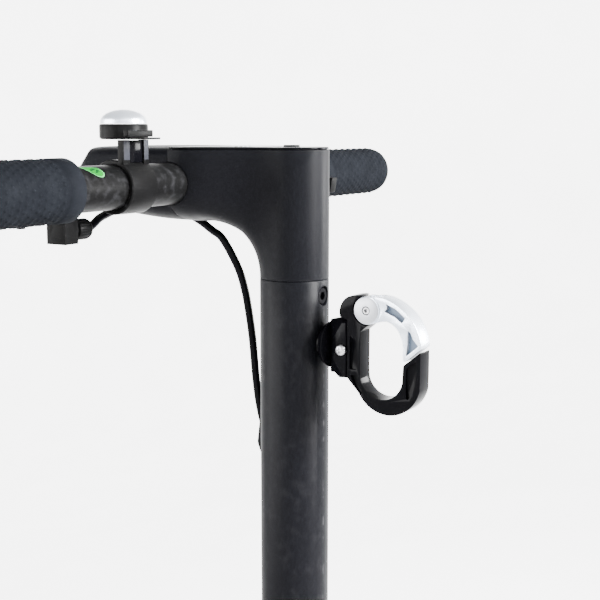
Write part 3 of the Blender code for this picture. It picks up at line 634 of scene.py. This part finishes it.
def head_cap():
    rings = [nose_ring(*section) for section in finer(NOSE_SECTIONS)[:-1] + NOSE_TIP]
    cap = raw("head_cap_finished", grid(rings))
    hollow = [nose_ring(*section) for section in NOSE_HOLLOW]
    bar_bore = rod("x", (BAR_Y, 0), CLAMP_BORE, -60, 60, 96)
    cable_notch = box((3.5, -80, -34), (15, -50, -14))
    carve(cap, grid(hollow), bar_bore, rod("x", CABLE_HOLE, 4, 25, 60, 32), cable_notch)
    piece(cap, "powder_coat", "stem", "head_cap", look=CAP_COAT, angle=30)


def stem_screw():
    profile = [(POLE, 14.4), (5.5, 14.4), (5.5, 19.7), (4.8, 20.4), (POLE, 20.4)]
    screw = raw("stem_screw_finished", revolve("y", STEM_SCREW_AT, profile, 48))
    carve(screw, rod("y", STEM_SCREW_AT, 2.8, 17.4, 30, 6))
    piece(screw, "steel", "stem", "stem_screw", look=LOOKS["gloss_black"])


def display():
    """Glossy top panel with a window, four lights and the power button."""
    inset = TUBE_R - 0.4
    outline = arc((0, 0), inset, 90, 0, 24)
    outline += [(inset + (NOSE_HALF - TUBE_R) * smoothstep(-y / -BAR_Y), y) for y in range(-2, -60, -2)]
    outline.append((NOSE_HALF - 0.5, BAR_Y + 0.5))
    outline += [(-x, y) for x, y in reversed(outline[1:])]
    panel = raw("display_panel_finished", prism("z", outline, PANEL_Z + GAP, HEAD_TOP))
    carve(panel, rod("z", (0, -2), 5.3, 10, 30, 48))
    bevelled(panel, 0.35, 2, 40)
    piece(panel, "gloss_black", "stem", "display_panel")
    outline = rounded((-13, -44), (13, -18), 4)
    window = raw("display_window", prism("z", outline, HEAD_TOP - 0.3, HEAD_TOP + 0.12))
    look = painted("look_display", (0.0012, 0.0018, 0.0030), (0.0035, 0.0048, 0.0072), 0.05, 0.10)
    piece(bevelled(window, 0.1, 1), "gloss_black", "stem", look=look)
    dome = [(POLE, HEAD_TOP), (1.2, HEAD_TOP), (0.9, HEAD_TOP + 0.3), (POLE, HEAD_TOP + 0.35)]
    for index in range(4):
        led = raw(f"battery_light_{index + 1}", revolve("z", (-7.5 + 5 * index, -38), dome, 24))
        piece(led, "lens_clear", "stem", look=BATTERY_LIGHT)
    softened("power_button", 0.3, 2)


def headlight():
    profile = [(POLE, -155.4), (11, -155.4), (11, -157), (10.4, -157.9), (8.6, -159), (5, -159.8)]
    profile.append((POLE, -160))
    lens_glass = raw("headlight_lens_finished", revolve("y", (0, 0.5), profile, 64))
    piece(lens_glass, "lens_clear", "stem", "headlight_lens")


# ---- Grips, handlebar and its levers ----
def grip_shape(side, start):
    """A grip whose skin carries rows of raised diamonds."""
    pitch, height = 4.6, 0.5
    rows = []
    around = 24
    steps = around * 8
    stations = [(CLAMP_BORE, start), (17.3, start), (17.8, start + 0.5), (17.8, start + 11.4)]
    stations.append((17.3, start + 12.4))
    stations += [(17.3, along / 2) for along in range(int(2 * start) + 26, 410)]
    stations += [(17.25, 206), (17, 208), (16.6, 210), (15.7, 212), (14.4, 213.4), (12.4, 214.4), (10, 214.8),
                 (6, 214.95), (3, GRIP_END - 0.02)]
    for radius, along in stations:
        column = (along - start) / pitch
        ring = []
        for step in range(steps):
            turn = step / steps
            row = turn * around
            shift = 0.5 * (math.floor(column) % 2)
            near_u = abs((column % 1) - 0.5)
            near_v = abs(((row + shift) % 1) - 0.5)
            raised = max(0.0, 1 - (near_u + near_v) / 0.42) if start + 14 < along < 205 else 0.0
            r = radius + height * min(1.0, 1.8 * raised)
            angle = 2 * math.pi * turn
            ring.append((side * along, BAR_Y + r * math.cos(angle), r * math.sin(angle)))
        rows.append(ring)
    return grid(rows)


def handlebar_pieces():
    profile = [(10.9, -BAR_HALF), (BAR_R, -BAR_HALF), (BAR_R, BAR_HALF), (10.9, BAR_HALF)]
    piece(raw("handlebar_tube_finished", revolve("x", (BAR_Y, 0), profile, 128)), "satin_plastic", "stem",
          "handlebar_tube")
    piece(raw("grip_left_finished", grip_shape(1, 137.1)), "grip_rubber", "stem", "grip_left", angle=60)
    piece(raw("grip_right_finished", grip_shape(-1, 113)), "grip_rubber", "stem", "grip_right", angle=60)


def lever_perch():
    """The brake lever's clamp ring, with its arm and the foot that carries the bell."""
    low, high = PERCH_SPAN
    profile = [(CLAMP_BORE, low), (15.3, low), (15.8, low + 0.5), (15.8, high - 0.6), (15.2, high)]
    profile.append((CLAMP_BORE, high))
    perch = raw("lever_perch_finished", revolve("x", (BAR_Y, 0), profile, 96))
    arm = [(80, -71), (high - 1, -71), (104, -81.5), (149, -81.5), (149, -98), (144, -101), (112, -101)]
    arm.append((84, -90))
    ears = [box((low, -57, 13), (low + 4.4, -53, 27)), box((high - 5.8, -57, 13), (high, -53, 27))]
    join(perch, prism("z", arm, -11, -3), box((110.2, -91, -32), (121, -77, -8)), *ears)
    bar_bore = rod("x", (BAR_Y, 0), CLAMP_BORE, low - 5, high + 5, 96)
    carve(perch, rod("z", LEVER_PIVOT, 2.8, -30, 10, 32), bar_bore)
    bevelled(perch, 0.7, 3, 42)
    piece(perch, "satin_plastic", "stem", "lever_perch")
    block = raw("clamp_block", box((low + 4.2, -57, 14), (high - 5.6, -53.9, 26.8)))
    piece(bevelled(block, 0.6, 2), "gloss_black", "stem")
    trims = (("clamp_trim_inner", low + 0.5, low + 4.2), ("clamp_trim_outer", high - 5.6, high - 0.5))
    for name, start, end in trims:
        trim = raw(name, box((start, -53.5, 15.6), (end, -52.8, 26.8)))
        piece(bevelled(trim, 0.25, 2), "cast_silver", "stem", look=TRIM_GREY)
    softened("brake_lever", 0.6, 3)


def barrel_adjuster():
    """Knurled knob where the brake cable leaves the lever."""
    y, z = BARREL_AT
    profile = [(POLE, 94.4), (3.4, 94.4), (4.6, 95), (5.8, 96.4), (6.2, 97.6), (6.2, 105.4), (5.8, 106.4)]
    profile += [(4.6, 107), (4.6, 109.8), (POLE, 109.8)]
    knob = raw("barrel_adjuster_finished", revolve("x", BARREL_AT, profile, 64))
    notches = []
    for degrees in range(0, 360, 24):
        turn = math.radians(degrees)
        notches.append(rod("x", (y + 6.9 * math.cos(turn), z + 6.9 * math.sin(turn)), 1.1, 98, 110, 16))
    carve(knob, *notches)
    piece(knob, "satin_plastic", "stem", "barrel_adjuster")


def cable_pieces():
    path = smooth_path(CABLE_ROUTE, 10)
    cable = raw("brake_cable_finished", tube(path, CABLE_R, 32))
    piece(cable, "gloss_black", "stem", "brake_cable", angle=60)
    outline = [(-18, -147), (-22.6, -147), (-23.2, -147.8), (-24.6, -158), (-25.6, -166.4), (-25.2, -168),
               (-22, -175.6), (-18, -175.6)]
    grommet = raw("cable_grommet_finished", prism("x", outline, -4.3, 4.3))
    through = [point for point in path if -195 < point.z < -138]
    carve(grommet, tube(through, CABLE_R + GAP, 24))
    piece(bevelled(grommet, 0.6, 3), "soft_rubber", "stem", "cable_grommet")


def on_bar(along, degrees, radius):
    """A point of the head frame on a cylinder round the handlebar."""
    turn = math.radians(degrees)
    return along, BAR_Y + radius * math.cos(turn), radius * math.sin(turn)


def sticker_layer(name, scale, radius, look):
    """A drop-shaped layer wrapped on the bar, in rings that shrink to its middle."""
    middle, turn, length, width = 121.5, math.radians(28), 15.5, 8.2
    outline = []
    for step in range(72):
        angle = 2 * math.pi * step / 72
        taper = math.sin(angle / 2) ** 1.2
        along, across = length / 2 * math.cos(angle), width / 2 * math.sin(angle) * taper * 1.25
        outline.append((along * math.cos(turn) - across * math.sin(turn),
                        along * math.sin(turn) + across * math.cos(turn)))
    count, layers = len(outline), 9
    vertices, faces = [], []
    for layer in range(layers):
        share = scale * (1 - layer / (layers - 1) * 0.999)
        for u, v in outline:
            angle = math.radians(56) + v * share / BAR_R
            vertices.append((middle + u * share, BAR_Y + radius * math.cos(angle), radius * math.sin(angle)))
    for layer in range(layers - 1):
        here, inner = layer * count, (layer + 1) * count
        for j in range(count):
            k = (j + 1) % count
            faces.append((here + j, here + k, inner + k, inner + j))
    badge = raw(name, (vertices, faces))
    wall = badge.modifiers.new("Wall", "SOLIDIFY")
    wall.thickness = 0.1 * MM
    wall.offset = 0
    piece(baked(badge), "satin_plastic", "stem", look=look, angle=60)


def sticker():
    """A green drop with a pale rim and a few dark strokes."""
    sticker_layer("sticker_rim", 1.0, BAR_R + 0.12, STICKER_EDGE)
    sticker_layer("sticker_face", 0.90, BAR_R + 0.22, STICKER_GREEN)
    strokes = ((118.2, 52, 1.7), (120.4, 58, 2.2), (122.6, 55, 1.6), (119.8, 47, 1.4))
    for index, (along, degrees, span) in enumerate(strokes):
        upright = Matrix.Rotation(math.radians(degrees) - math.pi / 2, 4, "X")
        space = HEAD @ Matrix.Translation(on_bar(along, degrees, BAR_R + 0.42)) @ upright
        mark = raw(f"sticker_mark_{index + 1}", box((-span / 2, -0.45, -0.1), (span / 2, 0.45, 0.1)), space)
        piece(mark, "satin_plastic", "stem", look=MARK_DARK)


def bell_pieces():
    profile = [(POLE, 27.3), (13, 27.3), (14, 28.3), (14, 35.2), (13.4, 36), (POLE, 36)]
    body = raw("bell_body_finished", revolve("z", (BELL_X, BAR_Y), profile, 96))
    join(body, box((BELL_X - 6, -54, 27.3), (BELL_X + 8, -40, 28.4)))
    piece(body, "satin_plastic", "stem", "bell_body")
    dome = [(POLE, 36.3), (13.2, 36.3), (13.2, 37.4)]
    for degrees in range(6, 90, 6):
        turn = math.radians(degrees)
        dome.append((13.2 * math.cos(turn), 37.4 + 6.8 * math.sin(turn)))
    dome.append((POLE, 44.2))
    cap = raw("bell_cap_finished", revolve("z", (BELL_X, BAR_Y), dome, 96))
    piece(cap, "cast_silver", "stem", "bell_cap")
    softened("bell_lever", 0.5, 3)


def throttle_pieces():
    profile = [(CLAMP_BORE, -104), (17, -104), (17.6, -103.4), (17.6, -84.6), (17, -84), (CLAMP_BORE, -84)]
    piece(raw("throttle_housing_finished", revolve("x", (BAR_Y, 0), profile, 96)), "satin_plastic", "stem",
          "throttle_housing")
    softened("throttle_lever", 0.5, 3)


# ---- Bag hook ----
def pockets(outlines, depth):
    """Cutters that recess both faces of the hook."""
    cutters = []
    for outline in outlines:
        cutters.append(prism("x", outline, HOOK_HALF - depth, HOOK_HALF + 2))
        cutters.append(prism("x", outline, -HOOK_HALF - 2, depth - HOOK_HALF))
    return cutters


def eased(outline, radius, steps=5):
    """An outline with its corners rounded."""
    points = []
    count = len(outline)
    for i in range(count):
        before, here, after = (Vector(outline[(i + k) % count]) for k in (-1, 0, 1))
        reach = min(radius, (before - here).length / 2.2, (after - here).length / 2.2)
        start = here + (before - here).normalized() * reach
        end = here + (after - here).normalized() * reach
        for step in range(steps + 1):
            t = step / steps
            points.append(tuple((1 - t) ** 2 * start + 2 * t * (1 - t) * here + t ** 2 * end))
    return points


def hook_washer():
    profile = [(POLE, 21.7), (9.6, 21.7), (9.9, 22), (9.9, 23.6), (9.4, 24), (9.4, 24.4), (12.6, 24.6)]
    profile += [(13, 25), (14.6, 27.7), (14.4, 28), (POLE, 28)]
    washer = raw("hook_washer_finished", revolve("y", WASHER_AT, profile, 96))
    piece(washer, "gloss_black", "stem", "hook_washer")


def hook_bracket():
    """A block with its side faces cut back."""
    block = [(28.3, -81.5), (37, -79.6), (40.9, -81), (40.9, -116.8), (34.5, -117.3), (31, -114.4)]
    block.append((28.3, -114.4))
    face = [(31.6, -93), (38.2, -82.6), (40.7, -82.4), (40.7, -116.2), (39.2, -115.6), (32.4, -106)]
    face.append((31.6, -103.6))
    sections = ((-7, face), (-3.6, block), (3.6, block), (7, face))
    bracket = raw("hook_bracket_finished", grid([[(x, u, v) for u, v in outline] for x, outline in sections]))
    piece(bevelled(bracket, 0.5, 3, 12), "gloss_black", "stem", "hook_bracket", angle=20)


def hook_body():
    lobe = [(36.2, -79), (35.8, -75.5), (37.2, -71), (40.2, -67.4), (44.2, -65.6), (48.4, -65.1)]
    lobe = [(point.y, point.z) for point in smooth_path([(0, u, v) for u, v in lobe], 4)]
    outline = [(41.3, -80.6)] + lobe + arc(HOOK_PIVOT, 7.5, 100, -50, 24) + [(50.4, -87), (50.3, -110)]
    outline += arc((64.6, -112.6), 14.4, 192, 348, 32)
    outline += eased([(78.9, -112), (79.3, -104.6), (90.4, -95.6), (90.4, -104)], 0.9, 4)[5:15]
    outline += [(90.4, -110)] + arc((68.8, -114.2), 21.9, -12, -152, 36) + [(41.3, -116)]
    body = raw("hook_body_finished", prism("x", outline, -HOOK_HALF, HOOK_HALF))
    cheek = 2.6
    carve(body, rod("x", HOOK_PIVOT, 9.2, cheek, 12, 96), rod("x", HOOK_PIVOT, 9.2, -12, -cheek, 96),
          rod("x", HOOK_PIVOT, 2.6, -12, 12, 32))
    bevelled(body, 0.9, 4, 40)
    right_leg = [(81.2, -106.2), (87.6, -101), (87.8, -113), (85.6, -121), (82.6, -125), (81.4, -124.4)]
    right_leg.append((81, -117))
    left_leg = [(43.6, -114.4), (48.2, -113.8), (48.7, -118), (52, -124.4), (50.8, -126), (46.6, -121)]
    spine = [(43, -90), (48, -93.4), (48.2, -110.6), (43, -111)]
    carve(body, *pockets([eased(right_leg, 1.6), eased(left_leg, 1.2), eased(spine, 1.4)], 2.4))
    bevelled(body, 0.4, 2, 50)
    piece(body, "gloss_black", "stem", "hook_body", angle=34)


def hook_gate():
    """The silver gate, dark plates on its pocket floors as painted shade, and the disc over its pivot."""
    outline = arc(HOOK_PIVOT, 8.4, 75, 285, 48)
    outline += [(62, -80.6), (65, -79.8), (68, -79.4), (71.4, -80.6), (74.5, -83), (76.8, -86.4), (78.3, -90),
                (78.9, -94.4), (78.8, -99), (79, -101.6), (79.9, -102.4), (81, -102), (89.4, -94.8),
                (90.8, -93.4), (90.9, -91.6), (89.4, -86), (86.8, -80.5), (84.4, -77), (81.5, -74),
                (78.2, -71.3), (74.5, -69), (70.4, -67), (66, -65.6), (61, -65.1)]
    leaf = raw("hook_gate_finished", prism("x", outline, -HOOK_HALF, HOOK_HALF))
    carve(leaf, rod("x", HOOK_PIVOT, 12, -3, 3, 96), rod("x", HOOK_PIVOT, 2.6, -12, 12, 32))
    bevelled(leaf, 0.7, 3, 40)
    first = [(67.4, -68.9), (73.6, -71.2), (80.2, -76.4), (78.2, -79.7), (73.2, -76.2), (66.4, -73.6)]
    first.append((68.2, -71.4))
    second = [(81.9, -83.4), (83.8, -84.6), (85.4, -88.4), (89, -92.2), (81.2, -98.9), (81, -98), (81.8, -92)]
    rim_groove = [(8.9, HOOK_HALF - 0.5), (9.4, HOOK_HALF - 0.5), (9.4, 12), (8.9, 12)]
    cutters = pockets([eased(first, 0.8), eased(second, 0.7)], 3.4)
    carve(leaf, *cutters, revolve("x", HOOK_PIVOT, rim_groove, 96))
    bevelled(leaf, 0.25, 2, 50)
    # Thin plates on the pocket floors, coloured as painted shade for the recesses.
    for index, pocket in enumerate((first, second)):
        floor = raw(f"gate_pocket_floor_{index + 1}", prism("x", eased(pocket, 0.8), 1.9, 3.1))
        piece(floor, "cast_silver", "hook_gate", look=POCKET_PAINTED_SHADE)
    piece(leaf, "cast_silver", "hook_gate", "hook_gate", angle=34)
    disc = raw("gate_boss_disc", revolve("x", HOOK_PIVOT, [(2.7, 5.9), (8.1, 5.9), (8.1, 6.25), (7.8, 6.45),
                                                           (2.7, 6.45)], 96))
    piece(disc, "cast_silver", "hook_gate", look=BOSS_SILVER)


def hook_screws():
    profile = [(POLE, -6.4), (2.3, -6.4), (2.3, 6.1), (2, 6.4), (POLE, 6.4)]
    pin = raw("hook_pivot_pin_finished", revolve("x", HOOK_PIVOT, profile, 48))
    carve(pin, rod("x", HOOK_PIVOT, 1.3, 4.6, 8, 6))
    piece(pin, "steel", "stem", "hook_pivot_pin")

    u, v = HOOK_SCREW_AT
    pan = [(POLE, 7.1), (3.5, 7.1), (3.5, 7.7), (3.2, 8.6), (2.3, 9.2), (1.1, 9.4), (POLE, 9.4)]
    screw = raw("hook_screw_finished", revolve("x", HOOK_SCREW_AT, pan, 64))
    upright_slot = box((8.1, u - 0.45, v - 2), (10, u + 0.45, v + 2))
    level_slot = box((8.1, u - 2, v - 0.45), (10, u + 2, v + 0.45))
    carve(screw, upright_slot, level_slot)
    piece(bevelled(screw, 0.12, 2, 40), "steel", "stem", "hook_screw")


# ---- Wheels ----
TYRES = [("front_tyre", FRONT_AXLE_Y, "front_wheel"), ("rear_tyre", AXLE_Y, "rear_wheel")]


def tyre_shape(axle_y):
    """A road tyre with round shoulders, two centre grooves and slanted side sipes."""
    half = [(TYRE_R, 0), (TYRE_R, 2), (TYRE_R - 0.1, 3), (TYRE_R - 1.6, 3.2), (TYRE_R - 1.6, 4.8)]
    half += [(TYRE_R - 0.3, 5), (TYRE_R - 0.9, 8), (TYRE_R - 1.8, 11), (105.2, 14), (103.2, 17), (101, 19.4)]
    half += [(98, 21.6), (94, 23.4), (89.6, 23.9), (86, 23.6), (83, 22.6), (80.5, 20.8), (79.5, 18.4)]
    half += [(79.3, 16.9), (RIM_R + GAP, 16.9), (RIM_R + GAP, 14), (86, 18.5), (99, 16)]
    profile = half + [(radius, -along) for radius, along in reversed(half[1:])]
    steps = 288
    rows = []
    for radius, along in profile:
        row = []
        for step in range(steps):
            angle = 2 * math.pi * step / steps
            phase = (step + abs(along) * 0.35) % 6
            cut = 1.1 if 6.5 < abs(along) < 19 and radius > 100 and phase < 1.6 else 0.0
            r = radius - cut
            row.append((along, axle_y + r * math.cos(angle), TYRE_R + r * math.sin(angle)))
        rows.append(row)
    return grid(rows, closed_rows=True)


def round_wheel(axle_y, radius, degrees):
    """Height and depth of a point round an axle."""
    turn = math.radians(degrees)
    return axle_y + radius * math.cos(turn), TYRE_R + radius * math.sin(turn)


def mirrored(profile):
    return [(radius, -along) for radius, along in reversed(profile)]


def hub_motor():
    """The front wheel's motor with nine countersunk screws on each side."""
    centre = (FRONT_AXLE_Y, TYRE_R)
    left = [(7, 40), (30, 40), (32, 39.4), (34, 39.2), (46, 31.6), (48, 30.4), (54, 21.6), (57, 20)]
    left += [(72, 19.4), (74, 20), (79, 20), (79, 17.3), (RIM_R, 17.3)]
    motor = raw("front_hub_motor_finished", revolve("x", centre, left + mirrored(left), 160), WORLD)
    spots = [round_wheel(FRONT_AXLE_Y, 60.5, 40 * index) for index in range(9)]
    for side in (1, -1):
        low, high = sorted((side * 18.6, side * 24))
        carve(motor, *[rod("x", spot, 3.4, low, high, 24) for spot in spots], space=WORLD)
    piece(motor, "black_alloy", "front_wheel", "front_hub_motor")
    for side, label in ((1, "left"), (-1, "right")):
        profile = [(POLE, 18), (2.8, 18), (2.8, 19.6), (2.2, 20.1), (POLE, 20.1)]
        profile = [(radius, side * along) for radius, along in profile]
        heads = merged([revolve("x", spot, profile, 20) for spot in spots])
        piece(raw(f"motor_screws_{label}", heads, WORLD), "steel", "front_wheel")


def rear_rim():
    web = [(24, 6), (26, 5.2), (66, 5), (70, 7), (72, 18), (73.5, 20), (79, 20), (79, 17.3), (RIM_R, 17.3)]
    profile = [(7, 42), (14, 42), (14, 30), (20, 30)] + web + mirrored(web)
    profile += [(20, -34), (18, -36), (14, -42), (7, -42)]
    rim = raw("rear_rim_finished", revolve("x", (AXLE_Y, TYRE_R), profile, 160), WORLD)
    windows = [rod("x", round_wheel(AXLE_Y, 47, 72 * spoke + 54), 15, -12, 12, 64) for spoke in range(5)]
    carve(rim, *windows, space=WORLD)
    piece(bevelled(rim, 0.8, 2, 50), "black_alloy", "rear_wheel", "rear_rim")


def brake_disc():
    profile = [(14.3, 30.6), (56, 30.6), (56, 32.6), (14.3, 32.6)]
    disc = raw("brake_disc_finished", revolve("x", (AXLE_Y, TYRE_R), profile, 128), WORLD)
    holes = []
    for index in range(24):
        radius = 50.5 if index % 2 else 44.5
        holes.append(rod("x", round_wheel(AXLE_Y, radius, 15 * index), 2.4, 28, 36, 16))
    for index in range(6):
        holes.append(rod("x", round_wheel(AXLE_Y, 29, 60 * index), 8, 28, 36, 32))
    carve(disc, *holes, space=WORLD)
    piece(bevelled(disc, 0.25, 2, 50), "steel", "rear_wheel", "brake_disc")


def tyres():
    for name, axle_y, body in TYRES:
        piece(raw(name + "_finished", tyre_shape(axle_y), WORLD), "tyre_rubber", body, name, angle=30)


def merged(shapes):
    """Several shapes as one, without joining their surfaces."""
    vertices, faces = [], []
    for more_vertices, more_faces in shapes:
        faces += [tuple(i + len(vertices) for i in face) for face in more_faces]
        vertices += more_vertices
    return vertices, faces


# ---- Deck ----
def deck_pieces():
    slab = prism("z", rounded((-66, -216), (66, 278), 18, 16), 137.3, 139.4)
    ribs = []
    for index in range(19):
        x = -54 + 6 * index
        reach = 8 if abs(x) > 50 else 0
        ribs.append(prism("z", rounded((x - 1.5, -208 + reach), (x + 1.5, 270 - reach), 1.4, 4), 139, 140.4))
    mat = raw("deck_mat_finished", merged([slab] + ribs), WORLD)
    piece(bevelled(mat, 0.35, 2, 50), "soft_rubber", "frame", "deck_mat")


def fender_shape(axle_y, section, start, end, steps=72):
    rows = []
    for step in range(steps + 1):
        angle = math.radians(start + (end - start) * step / steps)
        rows.append([(x, axle_y + r * math.cos(angle), TYRE_R + r * math.sin(angle)) for x, r in section])
    return grid(rows)


def fender_section(half, top, wall, radius):
    """Outline of a mudguard: a round-shouldered channel of even thickness."""
    outside = [(-half, 104)] + arc((-half + radius, top - radius), radius, 180, 90, 10)
    outside += arc((half - radius, top - radius), radius, 90, 0, 10) + [(half, 104)]
    inner = radius - wall
    inside = [(half - wall, 104)] + arc((half - radius, top - radius), inner, 0, 90, 10)
    inside += arc((-half + radius, top - radius), inner, 90, 180, 10) + [(-half + wall, 104)]
    return outside + inside


def fender_pieces():
    channel = fender_section(31, 117.3, 2.2, 6)
    front = raw("front_fender_finished", fender_shape(FRONT_AXLE_Y, channel, 30, 155), WORLD)
    piece(bevelled(front, 0.4, 2, 50), "satin_plastic", "fork", "front_fender")
    end = math.degrees(math.acos(111.9 / 122.4))
    channel = fender_section(33, 122.4, 2.2, 5.5)
    rear = raw("rear_fender_finished", fender_shape(AXLE_Y, channel, 160, end), WORLD)
    join(rear, box((-20, 299, 126.4), (20, 325.4, 130)), box((-20, 321, 127), (20, 325, 152)), space=WORLD)
    piece(bevelled(rear, 0.4, 2, 50), "satin_plastic", "frame", "rear_fender")


for make in (stem_tube, stem_head, head_cap, stem_screw, display, headlight, handlebar_pieces, lever_perch,
             barrel_adjuster, cable_pieces, sticker, bell_pieces, throttle_pieces, hook_washer, hook_bracket,
             hook_body, hook_gate, hook_screws, tyres, hub_motor, rear_rim, brake_disc, deck_pieces,
             fender_pieces):
    make()


# ---- Other CAD pieces ----
def carried_over():
    done = set()
    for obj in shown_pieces():
        done.update(obj.get("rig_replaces", []))
    for node in sorted(frame["nodes"]):
        if node not in done:
            softened(node)


carried_over()


# ---- Camera, floor and light ----
LENS = 69
SENSOR = 36
CAMERA_TURN = 122
CAMERA_PITCH = 8.6
CAMERA_DISTANCE = 718
CAMERA_AIM = Vector((0, 0, -72.6))
CAMERA_SHIFT = 3.43
BACKDROP_GLOW = 5.5
SKY = 2.2
HEAD_AT = tuple(HEAD_ORIGIN * MM)
SOFTBOXES = [  # name, place, target, size, all in metres, and power in watts
    ("key_softbox", (-0.36, 1.34, 1.27), HEAD_AT, (0.75, 0.9), 620),
    ("bar_softbox", (-1.50, 0.80, 0.95), HEAD_AT, (0.5, 0.5), 80),
    ("left_softbox", (1.40, -1.25, 1.65), HEAD_AT, (2.0, 1.2), 240),
    ("fill_softbox", (1.8, 2.2, 2.4), (0, 0, 0.6), (1.6, 1.6), 40),
]


def place(obj, where, target):
    """Puts an object at a point and turns its -Z to the target, both in metres."""
    obj.location = where
    obj.rotation_euler = (Vector(target) - Vector(where)).to_track_quat("-Z", "Y").to_euler()
    return obj


def camera():
    """Placed in the head frame, looking past the aim."""
    turn, pitch = math.radians(CAMERA_TURN), math.radians(CAMERA_PITCH)
    right = Vector((math.cos(turn), math.sin(turn), 0))
    back = Vector((math.sin(turn) * math.cos(pitch), -math.cos(turn) * math.cos(pitch), math.sin(pitch)))
    up = back.cross(right)
    where = CAMERA_AIM + back * CAMERA_DISTANCE + right * CAMERA_SHIFT
    local = Matrix((right, up, back)).transposed().to_4x4()
    local.translation = where
    data = bpy.data.cameras.new("camera")
    data.lens = LENS
    data.sensor_width = SENSOR
    data.clip_start = 0.02
    data.clip_end = 60
    made = bpy.data.objects.new("camera", data)
    bpy.context.scene.collection.objects.link(made)
    world = HEAD @ local
    world.translation = (HEAD @ where) * MM
    made.matrix_world = world
    bpy.context.scene.camera = made


def studio():
    """A pale glowing bowl, an even sky and the softboxes."""
    n = Nodes("backdrop")
    colour = n.colours(n.noise(3.0, 3.0), [(0.3, (0.60, 0.60, 0.60)), (0.7, (0.63, 0.63, 0.63))])
    look = n.finish(colour, 0.9, n.bump(n.noise(300.0), 0.0002, 0.2), Emission_Strength=BACKDROP_GLOW)
    n.link(colour, n.shader.inputs["Emission Color"])
    floor_radius, bend, height = 6500, 2500, 6500
    profile = [(0.01, -0.5), (floor_radius, -0.5)]
    for step in range(1, 17):
        angle = math.radians(90 * step / 16)
        profile.append((floor_radius + bend * math.sin(angle), bend * (1 - math.cos(angle))))
    profile.append((floor_radius + bend, height))
    rows = [[(u, v, along) for u, v in circle((0, 0), radius, 96)] for radius, along in profile]
    backdrop = raw("backdrop", grid(rows, caps=False), WORLD)
    backdrop.data.materials.append(look)
    shaded(backdrop, 60)

    world = bpy.data.worlds.new("studio_light")
    world.use_nodes = True
    background = world.node_tree.nodes["Background"]
    background.inputs["Color"].default_value = (1.0, 1.0, 1.0, 1)
    background.inputs["Strength"].default_value = SKY
    bpy.context.scene.world = world

    for name, where, target, size, power in SOFTBOXES:
        data = bpy.data.lights.new(name, "AREA")
        data.shape = "RECTANGLE"
        data.size, data.size_y = size
        data.energy = power
        light = place(bpy.data.objects.new(name, data), where, target)
        light.visible_camera = False
        bpy.context.scene.collection.objects.link(light)


camera()
studio()
